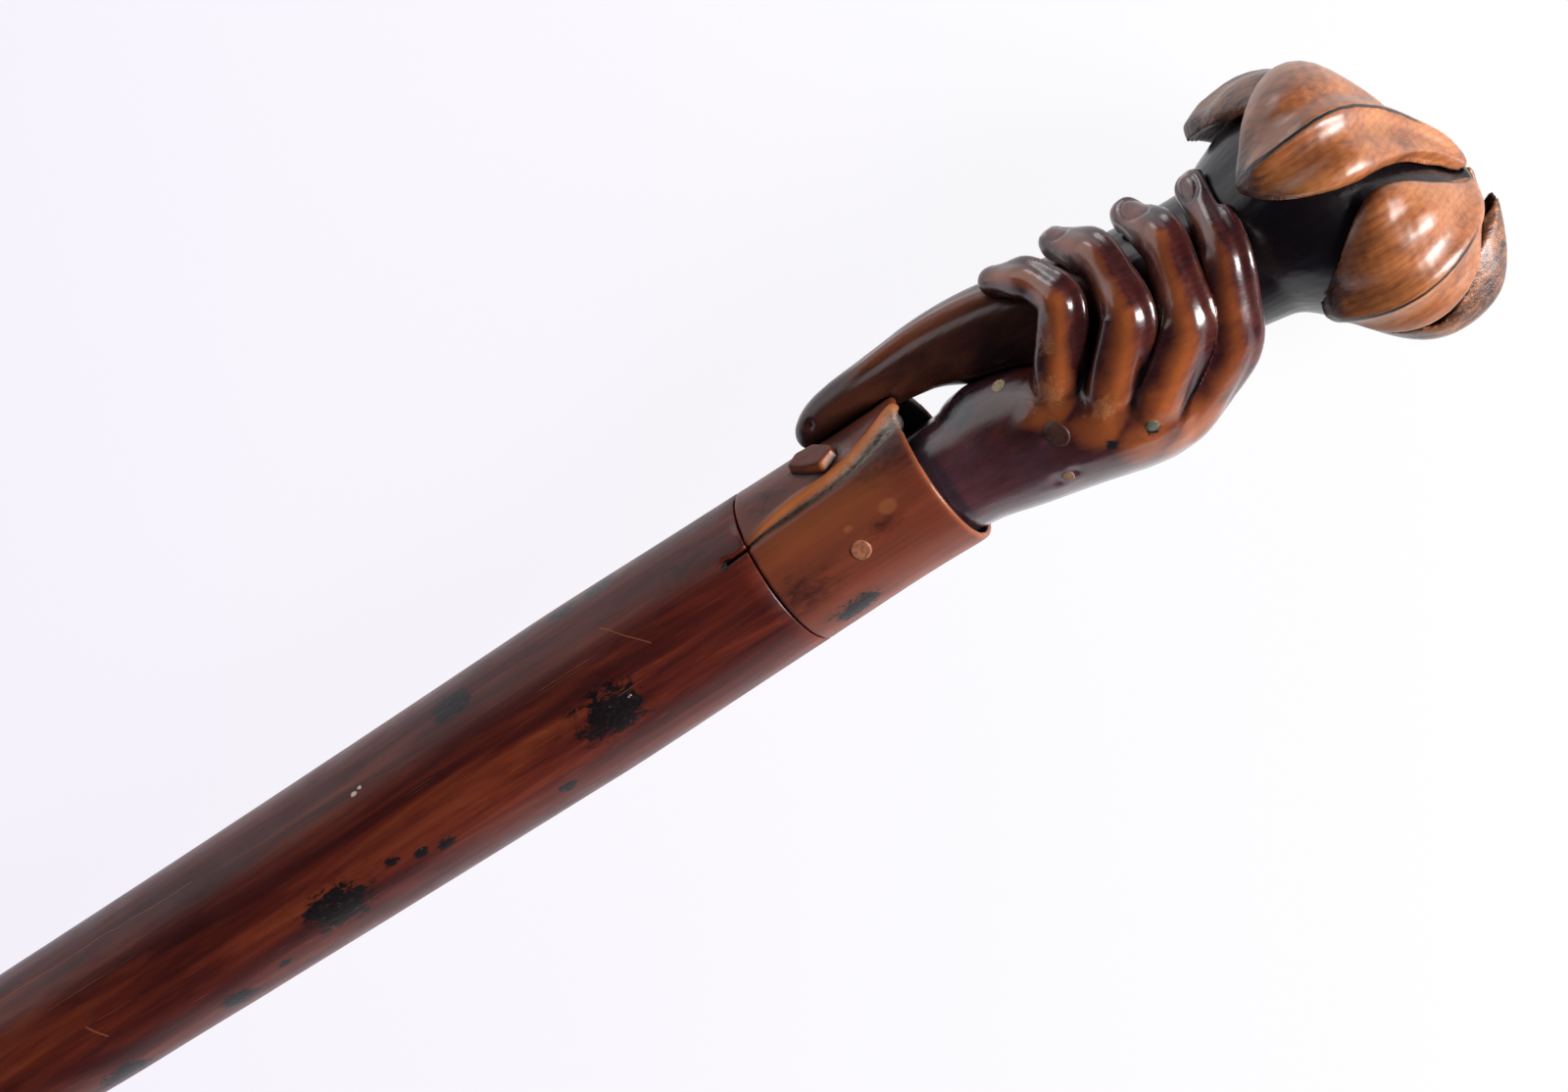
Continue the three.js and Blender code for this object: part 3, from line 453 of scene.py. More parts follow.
KNOT_CORES = on_shank([
    (-34.7, -19, 4.4), (-95.7, -32, 4.2), (-59.7, 47, 2.7), (-122, -56, 2.4, 0.8), (-148.5, -61.5, 3.2, 1.2),
    (-28.2, 72, 2.2), (-35.4, 68.5, 2.0), (8.9, -59, 2.8), (-77.5, -31, 1.1), (-73, -35, 1.2),
    (-50, -51, 1.3), (-82.7, -25, 1.0), (-111, -50, 1.0), (-4.2, 21.3, 0.9),
])
HALO = 1.75  # how far a knot darkens the wood round it, in sizes of its core
KNOT_HALOS = [(centre, size * HALO) for centre, size in KNOT_CORES if size > 1.5] + on_shank([
    (4, -22, 5.0), (-12, 40, 5.5), (29, 30, 6.0), (24, 22, 4.0), (22, -14, 2.5), (21, 63, 6.5), (6, 52, 5.0),
    (28, 38, 4.0),
])
FLECKS = on_shank([(-82, 29.5, 0.5), (-80.6, 31, 0.35), (-30.5, -16.5, 0.5)])
PLUGS = on_shank([(16.3, -19, 0.85), (16.6, -2.4, 0.9), (24.3, -3.9, 1.6)])
SCRATCHES = [
    ((-159.5, 10.3, 9.4), (-116.7, 9.5, 10.5), 0.12),
    ((-146.9, -1.5, 13.5), (-144.8, -5.1, 12.5), 0.2),
    ((-29.1, 8, 12.3), (-22.1, 1.3, 14.5), 0.12),
]
HAND_KNOTS = [((41, 6.6, 7.6), 4.2)]
HAND_SCUFFS = [((63.7, -6.6, 16.2), 2.4), ((56.5, 0.5, 15.5), 3.4), ((61.9, 7.5, 16.5), 2.2)]
HAND_MARKS = [((61.2, -12.6, 14.1), 1.1), ((68.1, -13.9, 14.4), 1.0)]
RIB_WAVER = 0.5  # millimetres that the line down a leaf's rib wanders, from one side to the other
FINISH = {
    "shank_wood": shank_wood(),
    "hand_wood": hand_wood(),
    "stalk_wood": stalk_wood(),
    "leaf_wood": leaf_wood(),
    "peg_wood": peg_wood(),
    "dowel_wood": beech(),
    "ferrule_brass": aged_brass(),
    "foot_steel": scuffed_steel(),
}
SLOT_OF = {part["node"]: part["material_slot"] for part in frame["record"]["subparts"]}


# Pieces: each is a copy of its solid, rounded between its facets and given a fine even skin.
DOUBLE = 0.001 * MM  # points nearer to each other than this are one
PLUG_GIRTH = 1.35  # a plug is so much wider than its peg, to close the clearance round it


@contextmanager
def editing(mesh):
    """A mesh opened for bmesh operators, and written back at the end."""
    edit = bmesh.new()
    edit.from_mesh(mesh)
    yield edit
    edit.to_mesh(mesh)
    edit.free()


def copy_of(node):
    """A copy of a node's mesh with its doubles merged and its triangles paired into quads."""
    mesh = frame["nodes"][node].data.copy()
    mesh.materials.clear()
    piece = bpy.data.objects.new("carved_" + node, mesh)
    scene.collection.objects.link(piece)
    with editing(mesh) as edit:
        bmesh.ops.remove_doubles(edit, verts=edit.verts, dist=DOUBLE)
        bmesh.ops.join_triangles(edit, faces=edit.faces, angle_face_threshold=math.radians(35),
                                 angle_shape_threshold=math.radians(60))
    return piece


def stick_turn(angle=0):
    """The stick's frame as a matrix from its millimetres, turned from Z towards Y by so many degrees."""
    turn = Matrix.Rotation(-math.radians(angle), 4, "X")
    return Matrix.Translation(SEAM) @ STICK.transposed().to_4x4() @ turn @ Matrix.Scale(MM, 4)


def fill(piece, spots):
    """Joins ellipsoids of wood to a piece, before it gets its skin: each has the angle that it is turned
    by, its place in that turned frame and its half sizes."""
    with editing(piece.data) as edit:
        for angle, place, half in spots:
            shape = stick_turn(angle) @ Matrix.Translation(place) @ Matrix.Diagonal((*half, 1))
            bmesh.ops.create_icosphere(edit, subdivisions=3, radius=1, matrix=shape)


def peg_line(node):
    """A peg's middle and the direction that it points outwards in, on the floor's frame."""
    points = Surface(frame["nodes"][node].data).points
    middle = (points.min(0) + points.max(0)) / 2
    _, _, ways = np.linalg.svd(points - points.mean(0))
    way = ways[0] * np.sign(ways[0] @ np.array(OUT))
    return Vector(middle), Vector(way)


def plug(piece, pegs):
    """Fills the holes of the pegs with wood; the pegs that show are set into the skin later."""
    with editing(piece.data) as edit:
        for node in pegs:
            middle, way = peg_line(node)
            start = len(edit.verts)
            edit.from_mesh(frame["nodes"][node].data)
            edit.verts.ensure_lookup_table()
            wider = Matrix.Scale(PLUG_GIRTH, 4) @ Matrix.Scale(1 / PLUG_GIRTH, 4, way)
            bmesh.ops.transform(edit, matrix=wider, space=Matrix.Translation(-middle),
                                verts=edit.verts[start:])
        bmesh.ops.remove_doubles(edit, verts=edit.verts, dist=DOUBLE)


def keep_sharp(piece, angle):
    """Creases every edge that turns more than so many degrees."""
    with editing(piece.data) as edit:
        crease = edit.edges.layers.float.new("crease_edge")
        for edge in edit.edges:
            if edge.is_manifold and edge.calc_face_angle() > math.radians(angle):
                edge[crease] = 1.0


def settle(piece):
    """Turns the piece's modifiers into its mesh."""
    graph = bpy.context.evaluated_depsgraph_get()
    settled = bpy.data.meshes.new_from_object(piece.evaluated_get(graph))
    piece.modifiers.clear()
    piece.data = settled


def round_off(piece, levels):
    """Rounds the facets."""
    rounding = piece.modifiers.new("rounding", "SUBSURF")
    rounding.levels = rounding.render_levels = levels
    settle(piece)


def widen(piece, factor):
    """Gives a turned piece back the girth that rounding takes from its facets."""
    with editing(piece.data) as edit:
        bmesh.ops.transform(edit, matrix=Matrix.Diagonal((1, factor, factor, 1)), verts=edit.verts,
                            space=STICK.to_4x4() @ Matrix.Translation(-SEAM))


def skin(piece, grain, passes):
    """An even skin with points so many millimetres apart, eased over so many passes."""
    remesh = piece.modifiers.new("skin", "REMESH")
    remesh.mode = "VOXEL"
    remesh.voxel_size = grain * MM
    settle(piece)
    with editing(piece.data) as edit:
        for _ in range(passes):
            bmesh.ops.smooth_vert(edit, verts=edit.verts, factor=0.5, use_axis_x=True, use_axis_y=True,
                                  use_axis_z=True)


class Surface:
    """The points of a piece's skin as arrays, for what is read off them and for fine moves."""

    def __init__(self, mesh):
        self.mesh = mesh
        count = len(self.mesh.vertices)
        flat = np.empty(3 * count, np.float32)
        self.mesh.vertices.foreach_get("co", flat)
        self.points = flat.reshape(-1, 3).astype(float)
        self.mesh.vertex_normals.foreach_get("vector", flat)
        self.normals = flat.reshape(-1, 3).astype(float)
        pairs = np.empty(2 * len(self.mesh.edges), np.int32)
        self.mesh.edges.foreach_get("vertices", pairs)
        self.ends = pairs.reshape(-1, 2).T
        self.neighbours = np.maximum(np.bincount(pairs, minlength=count), 1)

    def eased(self, field, rounds):
        """A field over the points, evened out with that of their neighbours."""
        a, b = self.ends
        for _ in range(rounds):
            total = np.bincount(a, field[b], len(field)) + np.bincount(b, field[a], len(field))
            field = (field + total / self.neighbours) / 2
        return field

    def sunk(self, rounds):
        """How many millimetres each point lies under the surface round it; less than 0 on a ridge."""
        level = np.stack([self.eased(self.points[:, k], rounds) for k in range(3)], 1)
        return ((level - self.points) * self.normals).sum(1) / MM

    def move(self, outwards):
        """Moves each point along its normal by so many millimetres, and gives the new surface."""
        self.points += self.normals * outwards[:, None] * MM
        self.mesh.vertices.foreach_set("co", self.points.astype(np.float32).ravel())
        self.mesh.update()
        return Surface(self.mesh)

    def swell(self, spots):
        """Raises or sinks the skin round some places: each has a reach and a height."""
        place = in_stick(self.points)
        height = np.zeros(len(place))
        for centre, reach, rise in spots:
            centre = place[np.argmin(np.linalg.norm(place - centre, axis=1))]
            height += rise * np.exp(-(np.linalg.norm(place - centre, axis=1) / reach) ** 2)
        self.move(height)

    def keep(self, name, field):
        """Writes a field into the mesh for its material."""
        self.mesh.attributes.new(name, "FLOAT", "POINT").data.foreach_set("value", field.astype(np.float32))


def share(value, start, end):
    """0 up to start, 1 from end on, and smooth between them."""
    t = np.clip((value - start) / (end - start), 0, 1)
    return t * t * (3 - 2 * t)


def show(piece, node):
    """The piece stands for its node, in its node's finish."""
    piece.data.shade_smooth()
    piece.data.materials.clear()
    piece.data.materials.append(FINISH[SLOT_OF[node]])
    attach(piece, BODY)
    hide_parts(node)
    return piece


def carved(node, grain, passes, rounds, crisp, sharp=None, fills=(), pegs=()):
    """A node's carved copy and its surface; crisp brings back the edges that easing has rounded."""
    piece = copy_of(node)
    if sharp:
        keep_sharp(piece, sharp)
    round_off(piece, 1)
    fill(piece, fills)
    plug(piece, pegs)
    skin(piece, grain, passes)
    surface = Surface(piece.data)
    return piece, surface.move(-crisp * surface.eased(surface.sunk(rounds), 3))


# The fingers, from the root in the palm over knuckle, middle joint and end joint to the tip: x past the
# rim, y, z and radius; and how much of its stain each has lost along its back.
CUFF_LENGTH = 32.5
FINGERS = {
    "little": ([(16, -0.8, 5, 4.2), (25.2, -0.4, 11, 4.1), (35.6, 11.1, 15.3, 3.7), (32.2, 17.2, 12, 2.9),
                (25.1, 20.5, 6.8, 2.4)], 1.0),
    "ring": ([(21, -6.5, 5, 4.2), (31.4, -6.4, 12, 4.3), (43.7, 3.4, 16.4, 4.2), (43.5, 14.3, 12.3, 3.5),
              (37, 20.2, 5.6, 2.7)], 0.75),
    "middle": ([(25.4, -11.4, 4, 4.2), (35.7, -11.5, 11, 4.3), (50.7, -3, 15.6, 4.2),
                (54.3, 10.4, 13.4, 3.7), (49.5, 17.5, 6, 2.9)], 0.75),
    "index": ([(29.1, -14.9, 0, 4.2), (39.6, -15.2, 6, 4.3), (54.6, -8.8, 12.6, 4.1), (62, 3.3, 15.2, 3.7),
               (61.1, 15, 7.4, 3.3)], 0.5),
    "thumb": ([(15.5, 1, -10, 5.4), (31, 6.5, -14, 4.7), (47, 7.2, -16, 4.2), (60, 8.6, -15.2, 3.1)], 0.5),
}
# Nails: the middle of each, which way the finger points there, half its length and half its width.
NAILS = [
    ((70.8, 21.6, 7.4), (-0.59, 0.53, -0.61), 2.6, 1.6),
    ((84.2, 18.0, 9.6), (-0.42, 0.62, -0.65), 3.0, 2.0),
    ((93.3, 16.2, 10.0), (-0.06, 0.83, -0.55), 2.8, 1.7),
    ((91.0, 8.4, -18.3), (0.99, 0.1, 0.05), 3.6, 2.6),
]


FINGER_STEP = 0.25  # between the points of a finger's line
KNUCKLE_ROUNDS = 24  # how often that line is evened out, which rounds its joints
NEAR_FINGER = 8  # only points this near to a finger's line can be its own
FAR_OFF = 9.0  # stands for beyond the reach of every finger, nail and rib
AT_ONCE = 20000  # points that are compared with a finger's line in one go


def finger_line(joints):
    """Places a short step apart along a finger's middle, its radius at each, and shares of the way."""
    joints = np.array(joints) + (CUFF_LENGTH, 0, 0, 0)
    far = np.concatenate(([0], np.cumsum(np.linalg.norm(np.diff(joints[:, :3], axis=0), axis=1))))
    steps = np.arange(0, far[-1], FINGER_STEP)
    line = np.stack([np.interp(steps, far, joints[:, k]) for k in range(4)], 1)
    for _ in range(KNUCKLE_ROUNDS):
        line[1:-1] = (line[:-2] + 2 * line[1:-1] + line[2:]) / 4
    return line[:, :3], line[:, 3], steps / far[-1]


def grip_middle(x):
    """The middle of what the fingers close on, which drops from the little finger to the index."""
    return np.stack([x, 12 - 9 * share(x - CUFF_LENGTH, 23, 57), 0 * x], 1)


def round_fingers(place):
    """For points on the hand: the nearest finger's wear, how far out they lie from its middle as a share
    of its radius, how far along it, and which way round it, in degrees from its back to the head's side."""
    reach = np.full(len(place), FAR_OFF)
    wear, along, turn = np.zeros((3, len(place)))
    for joints, worn in FINGERS.values():
        line, radius, share_of_way = finger_line(joints)
        ahead = np.gradient(line, axis=0)
        headward = np.cross(ahead, line - grip_middle(line[:, 0]))
        headward /= np.linalg.norm(headward, axis=1)[:, None]
        rise = np.cross(headward, ahead)
        rise /= np.linalg.norm(rise, axis=1)[:, None]
        low, high = line.min(0) - NEAR_FINGER, line.max(0) + NEAR_FINGER
        close = np.flatnonzero(((place > low) & (place < high)).all(1))
        for part in np.array_split(close, 1 + len(close) // AT_ONCE):
            nearest = np.argmin(((place[part, None] - line[None]) ** 2).sum(2), 1)
            offset = place[part] - line[nearest]
            aside = (offset * headward[nearest]).sum(1)
            above = (offset * rise[nearest]).sum(1)
            far = np.hypot(aside, above) / radius[nearest]
            mine = far < reach[part]
            chosen = part[mine]
            reach[chosen] = far[mine]
            wear[chosen] = worn
            along[chosen] = share_of_way[nearest][mine]
            turn[chosen] = np.degrees(np.arctan2(aside, above))[mine]
    return wear, reach, along, turn


def hump(value, middle, width):
    """1 at the middle, falling away on both sides."""
    return np.exp(-((value - middle) / width) ** 2)


def profile(value, cuts):
    """Ridges and hollows side by side: each has its height, its middle and its width."""
    return sum(height * hump(value, middle, width) for height, middle, width in cuts)


NAIL_PATCH = 150  # points of the skin whose mean gives the way that a nail faces


def nail_field(place, facing):
    """How far each point of the hand lies from a nail's middle: 1 on its border, FAR_OFF elsewhere."""
    field = np.full(len(place), FAR_OFF)
    for centre, way, length, width in NAILS:
        way = np.array(way) / np.linalg.norm(way)
        offset = place - np.array(centre)
        distance = np.linalg.norm(offset, axis=1)
        out = facing[np.argsort(distance)[:NAIL_PATCH]].mean(0)
        out -= way * (out @ way)
        out /= np.linalg.norm(out)
        within = np.hypot(offset @ way / length, offset @ np.cross(way, out) / width)
        hidden = (facing @ out < 0.2) | (distance > 2 * length)
        field = np.minimum(field, np.where(hidden, FAR_OFF, within))
    return field


# How the hand is cut, in millimetres. Round a finger, 0 degrees is its back and 90 its side towards the
# head. The heel of the hand is filled and smoothed, and each nail has a groove round a flat.
FINGER_CUTS = [(1.0, -78, 28), (0.5, -8, 36), (-0.25, 32, 13), (0.85, 60, 15), (-0.4, 98, 14)]
HAND_FILLS = [(0, (48, 4.1, 4), (9, 4.7, 4.6))]
HEEL = (46.5, 5, 6)
HEEL_ROUNDS = 300
NAIL_GROOVE = 0.35
NAIL_FLAT = 0.15
HAND_PEGS = ("hand_peg_1", "hand_peg_2", "hand_peg_3", "hand_peg_4")


def make_hand():
    """The fingers are cut with a ridge along the side towards the head and a flat flank under it."""
    piece, surface = carved("hand", grain=0.42, passes=6, rounds=40, crisp=0.45, fills=HAND_FILLS,
                            pegs=HAND_PEGS)
    heel = share(np.linalg.norm(in_stick(surface.points) - HEEL, axis=1), 12, 8)
    surface = surface.move(heel * surface.sunk(HEEL_ROUNDS))
    _, reach, along, turn = round_fingers(in_stick(surface.points))
    on_finger = share(reach, 1.8, 1.3) * share(along, 0.2, 0.4) * share(along, 0.98, 0.82)
    surface = surface.move(surface.eased(on_finger * profile(turn, FINGER_CUTS), 2))
    place = in_stick(surface.points)
    x = place[:, 0]
    nail = nail_field(place, surface.normals @ STICK_TURN.T)
    surface.move(-NAIL_GROOVE * hump(nail, 1.05, 0.16) - NAIL_FLAT * share(nail, 1.0, 0.8))
    surface.keep("nail", np.clip(nail, 0, 2))
    wear, reach, along, turn = round_fingers(place)
    on_finger = share(reach, 1.9, 1.3)
    backs = hump(turn, -17, 28) * share(along, 0.08, 0.3) * share(along, 1.05, 0.9)
    roots = 0.65 * share(along, 0.42, 0.3) * share(along, 0.04, 0.2) * hump(turn, -20, 58)
    surface.keep("rubbed", surface.eased(on_finger * np.maximum(wear * backs, roots), 4))
    # Painted sheen over the back of the hand, stronger further from the wrist.
    surface.keep("waxy", share(reach, 1.4, 2.4) * (0.7 + 0.6 * share(x, 42, 56)))
    surface.keep("dusty", on_finger * hump(turn, 72, 6) * share(along, 0.4, 0.5) * share(along, 0.95, 0.8))
    # Painted shade: the hollows, and the wrist just within the cuff's rim, are darkened.
    rim_shade = 0.6 * share(x, CUFF_LENGTH + 3, CUFF_LENGTH + 1.2)
    surface.keep("sunk", np.maximum(surface.sunk(60), rim_shade))
    return show(piece, "hand")


# Round the stalk, 0 degrees faces the viewer: a ridge along it, and a groove beside the ridge.
STALK_CUTS = [(0.4, 50, 10), (-0.3, 28, 9)]
STALK_PIT = ((17.6, 17.2, 4.2), 0.9, -0.7)  # at its blunt end
ONTO_PALM = 1.5  # how far its underside is pushed out to lie on the palm


def make_stalk():
    """The stalk, ridged between its blunt end and the fist, and black again where the head begins."""
    piece, surface = carved("stalk", grain=0.5, passes=12, rounds=30, crisp=0.3)
    x = in_stick(surface.points)[:, 0]
    facing = surface.normals @ STICK_TURN.T
    turn = np.degrees(np.arctan2(facing[:, 1], facing[:, 2]))
    stretch = share(x, 24, 34) * share(x, 70, 60)
    on_palm = share(x, 38, 47) * share(x, 70, 62) * share(-facing[:, 1], 0.1, 0.8)
    surface.move(ONTO_PALM * on_palm + profile(turn, STALK_CUTS) * stretch)
    surface.swell([STALK_PIT])
    held = share(x, 78, 70)
    surface.keep("rubbed", (0.65 * hump(turn, 46, 14) * stretch + 0.3) * held)
    # Painted shade in the hollows; the stalk is also painted darker towards the head.
    surface.keep("sunk", np.maximum(surface.sunk(60), 0.4 * share(x, 82, 90)))
    return show(piece, "stalk")


# The head, for the ribs: where its axis starts, how it leans, and how its length is shared out on the
# steep and on the blunt side. Each ribbed leaf has its bearing, its tip, its sweep and its bend.
HEAD_START = (95.0, 3.0, 0.0)
HEAD_LEAN = math.radians(18)
HEAD_NOD = math.radians(12)
HEAD_LENGTH = 38.0
STEEP_SIDE = 92.0
STEEP_SHARES = [0, 0.1, 0.25, 0.42, 0.6, 0.78, 0.92, 1]
BLUNT_SHARES = [0, 0.1, 0.3, 0.5, 0.7, 0.87, 0.97, 1]
RIBS = {
    "leaf_front": (29.0, -0.5, 60.0, 2.3),
    "leaf_middle": (-46.6, 8.0, 32.0, 1.0),
    "leaf_rear": (100.0, -5.2, 0.0, 1.0),
}


def in_head(place):
    """Places in the stick's frame as distances along the head's axis, radii and bearings."""
    x, y, z = (place - np.array(HEAD_START)).T
    level = x * math.cos(HEAD_LEAN) - y * math.sin(HEAD_LEAN)
    across = x * math.sin(HEAD_LEAN) + y * math.cos(HEAD_LEAN)
    along = level * math.cos(HEAD_NOD) - z * math.sin(HEAD_NOD)
    out = level * math.sin(HEAD_NOD) + z * math.cos(HEAD_NOD)
    return along, np.hypot(across, out), np.degrees(np.arctan2(across, out))


def from_rib(node, place):
    """How far a leaf's points lie to the side of its rib, in millimetres, and how far along it."""
    bearing, tip, sweep, bend = RIBS[node]
    along, radius, angle = in_head(place)
    way = np.clip((along - tip) / (HEAD_LENGTH - tip), 0, 1)
    steps = np.linspace(0, 1, len(STEEP_SHARES))
    steep = np.interp(way, STEEP_SHARES, steps)
    blunt = np.interp(way, BLUNT_SHARES, steps)
    turn = bearing
    for _ in range(3):
        bluntness = 0.5 - 0.5 * np.cos(np.radians(turn - STEEP_SIDE))
        t = steep + (blunt - steep) * bluntness
        turn = bearing + sweep * t ** bend
    return np.radians(angle - turn) * radius, t


# Where each leaf's tip lies along the head, and how dark the whole leaf is made; each leaf also darkens
# towards its tip.
LEAF_DARKNESS = {
    "leaf_front": (0, 0), "leaf_middle": (9, 0), "leaf_rear": (-4, 0.55), "leaf_flared": (16, 0.6),
    "leaf_under": (5, 0.4),
}
# Humps and hollows that the knife left in the leaves: the place, the reach and the height of each.
SWELLS = {
    "leaf_front": [((123.7, 8.2, 22), 4.2, 0.9), ((114.7, 22.2, 19), 6, 0.4), ((113, 10.5, 23), 4.5, -0.5)],
    "leaf_middle": [((119.8, -1.1, 20), 4, 0.5), ((127.3, -9.2, 18), 4, 0.7), ((122.3, -6.1, 20), 2.6, -0.6),
                    ((103.1, -12.3, 16), 2.2, 0.3)],
}
LEAF_CUTS = [(0.9, 0, 1.6), (-0.7, 4.6, 2.4), (-0.7, -4.6, 2.4)]  # across a rib, in millimetres
HEAD_MIDDLE = (110, 0, 0)  # the leaves' outer sides face away from it


def make_leaf(node):
    """A ribbed leaf is cut to a crest along its rib, and hollowed on both sides of it."""
    piece, surface = carved(node, grain=0.3, passes=10, rounds=30, crisp=0.5)
    place = in_stick(surface.points)
    outside = (surface.normals @ STICK_TURN.T * (place - np.array(HEAD_MIDDLE))).sum(1) > 0
    aside = np.full(len(place), FAR_OFF)
    shows = np.zeros(len(place))
    if node in RIBS:
        aside, way = from_rib(node, place)
        lasting = outside * share(way, 0.02, 0.15) * share(way, 1.0, 0.8)
        surface = surface.move(lasting * profile(aside, LEAF_CUTS))
        shows = outside * share(way, 0.02, 0.07) * share(way, 0.76, 0.68)
    surface.swell(SWELLS.get(node, []))
    surface.keep("rib", aside)
    surface.keep("rib_shows", shows)
    along, _, _ = in_head(place)
    tip, smoke = LEAF_DARKNESS[node]
    surface.keep("smoke", np.maximum(0.75 * share(along, tip + 6, tip), smoke))
    # Painted shade in the leaf's hollows.
    surface.keep("sunk", surface.sunk(60))
    return show(piece, node)


SHANK_SIDES = 20


def make_shank():
    """The shank, its facets rounded. That draws each ring of points in, and widening takes it back."""
    piece = copy_of("shank")
    keep_sharp(piece, 40)
    round_off(piece, 2)
    widen(piece, 3 / (2 + math.cos(2 * math.pi / SHANK_SIDES)))
    show(piece, "shank")


# The cuff's slit: along the stick, the angle of its middle and half its width. Behind it stands the edge
# of the rear flap, worn to orange. Wood fills the slit up to a shallow trough, which holds dust.
SLIT = [(-4.3, 21.5, 0.3), (4, 27.2, 0.5), (10.6, 28.6, 0.8), (17.4, 29.6, 0.8), (22.4, 32.8, 0.9),
        (27, 38.5, 1.2), (31, 46.5, 1.7), (34, 50, 1.9)]
FLAP_EDGE = [(-2, 25), (4.5, 29.6), (10.6, 33), (17.4, 33.4), (22.4, 37), (27.2, 44.5), (30.9, 54.5),
             (34, 60)]
FILL_STEP = 0.9  # between the lumps of wood that fill the slit, each with its half sizes
FILL_HALF = (1.4, 2.6, 1.25)
FILL_RADIUS = 13.0
TROUGH_DEPTH = 0.9
FLAP_RISE = 0.6
FLAP_BACK = 0.2


def read_path(path, x, column=1):
    """The angle of a path, or another of its columns, at a distance along the stick."""
    return np.interp(x, [step[0] for step in path], [step[column] for step in path])


def make_cuff():
    """The cuff, with a trough along its slit and a raised edge on the flap behind."""
    slit_fills = [(float(read_path(SLIT, x)) + 1.5, (x, 0, FILL_RADIUS), FILL_HALF)
                  for x in np.arange(FILL_STEP, 31.6, FILL_STEP)]
    piece, surface = carved("cuff", grain=0.3, passes=5, rounds=20, crisp=0.5, sharp=40, fills=slit_fills,
                            pegs=("cuff_peg",))
    along, across, out = in_stick(surface.points).T
    radius = np.hypot(across, out)
    angle = np.degrees(np.arctan2(across, out))
    outer = share(radius, 12.8, 13.6)
    half = read_path(SLIT, along, 2)
    beside = np.radians(angle - read_path(SLIT, along)) * radius
    edge = np.radians(angle - read_path(FLAP_EDGE, along)) * radius
    flap = hump(edge, 0.4, 0.9) * share(along, 1, 8)
    behind = share(edge, 0, 1) * share(edge, 7, 3) * share(along, 8, 16)
    cuts = -TROUGH_DEPTH * hump(beside, 0, half) + FLAP_RISE * flap + FLAP_BACK * behind
    surface = surface.move(outer * cuts)
    by_button = 0.6 * hump(along, 22, 1.6) * hump(angle, 47, 5)
    dust_left = 0.3 + 0.7 * share(along, 12, 25)
    in_trough = 1.3 * dust_left * hump(beside, -0.1, 0.9 * half)
    surface.keep("dusty", outer * np.clip(in_trough + by_button, 0, 1))
    # The side of the cuff that faces out is painted a lighter orange.
    front = 0.3 * hump(angle, 12, 14) * share(along, -4, 6) * share(along, 30, 22)
    # A lighter line along the rim's edge: worn end grain, and a painted highlight.
    lip_wear_and_highlight = 0.25 * share(along, CUFF_LENGTH - 0.9, CUFF_LENGTH - 0.3)
    edge_wear = 0.95 * hump(edge, 0.3, 0.9) * share(along, 0, 5)
    surface.keep("rubbed", outer * np.clip(edge_wear + front + lip_wear_and_highlight, 0, 1))
    # Painted shade: the cuff's inner face near its rim, and its hollows, are darkened.
    painted_inside_shade = share(radius, 13.6, 13) * share(along, 22, 24)
    surface.keep("sunk", np.maximum(surface.sunk(45), 0.6 * painted_inside_shade))
    return show(piece, "cuff")


# The button: a slanted lozenge with a flat top. Its outline, foot first, in millimetres from its middle
# along the stick and round it.
BUTTON_PLACE = (16.0, 53)
BUTTON_FOOT = [(-4.6, 1.3), (-2.1, 3.7), (1.7, 3.3), (5, 0.3), (5, -1.5), (1.4, -3.6), (-1.5, -2)]
BUTTON_TOP = [(-3.9, 1.6), (-1.9, 3.2), (1.5, 2.8), (4.5, 0.2), (4.4, -1.0), (1.9, -2.5), (-1.2, -0.9)]
BUTTON_STANDS = (13.4, 16.0)  # radii of its foot, in the cuff, and of its top
BUTTON_EDGE = 0.35


def make_button():
    """The button, raised from its foot to its top, with its edges eased."""
    piece = copy_of("cuff_button")
    x, angle = BUTTON_PLACE
    foot, top = ([stick_turn(angle) @ Vector((x + a, b, height)) for a, b in outline]
                 for outline, height in zip((BUTTON_FOOT, BUTTON_TOP), BUTTON_STANDS))
    edit = bmesh.new()
    base = edit.faces.new([edit.verts.new(place) for place in foot])
    raised = bmesh.ops.extrude_face_region(edit, geom=[base], use_keep_orig=True)["geom"]
    cap = next(item for item in raised if isinstance(item, bmesh.types.BMFace))
    for vertex, place in zip(cap.verts, top):
        vertex.co = place
    bmesh.ops.recalc_face_normals(edit, faces=edit.faces)
    bmesh.ops.bevel(edit, geom=edit.edges, offset=BUTTON_EDGE * MM, segments=3, profile=0.5, affect="EDGES",
                    material=-1)
    edit.to_mesh(piece.data)
    edit.free()
    skin(piece, grain=0.16, passes=4)
    surface = Surface(piece.data)
    # The button's faces that look towards -Y across the stick are painted a lighter orange.
    front = -(surface.normals @ STICK_TURN.T)[:, 1]
    surface.keep("rubbed", 0.8 * share(front, -0.1, 0.4))
    # Painted shade in the button's hollows.
    surface.keep("sunk", surface.sunk(20))
    return show(piece, "cuff_button")


def tree_of(piece):
    """A piece's faces, to be searched by place or by ray."""
    faces = [list(p.vertices) for p in piece.data.polygons]
    return BVHTree.FromPolygons([v.co for v in piece.data.vertices], faces)


PEG_DEPTH = 3
PEG_PROUD = 0.06
PEG_RINGS = 3  # in its end, so that the end follows the wood round it


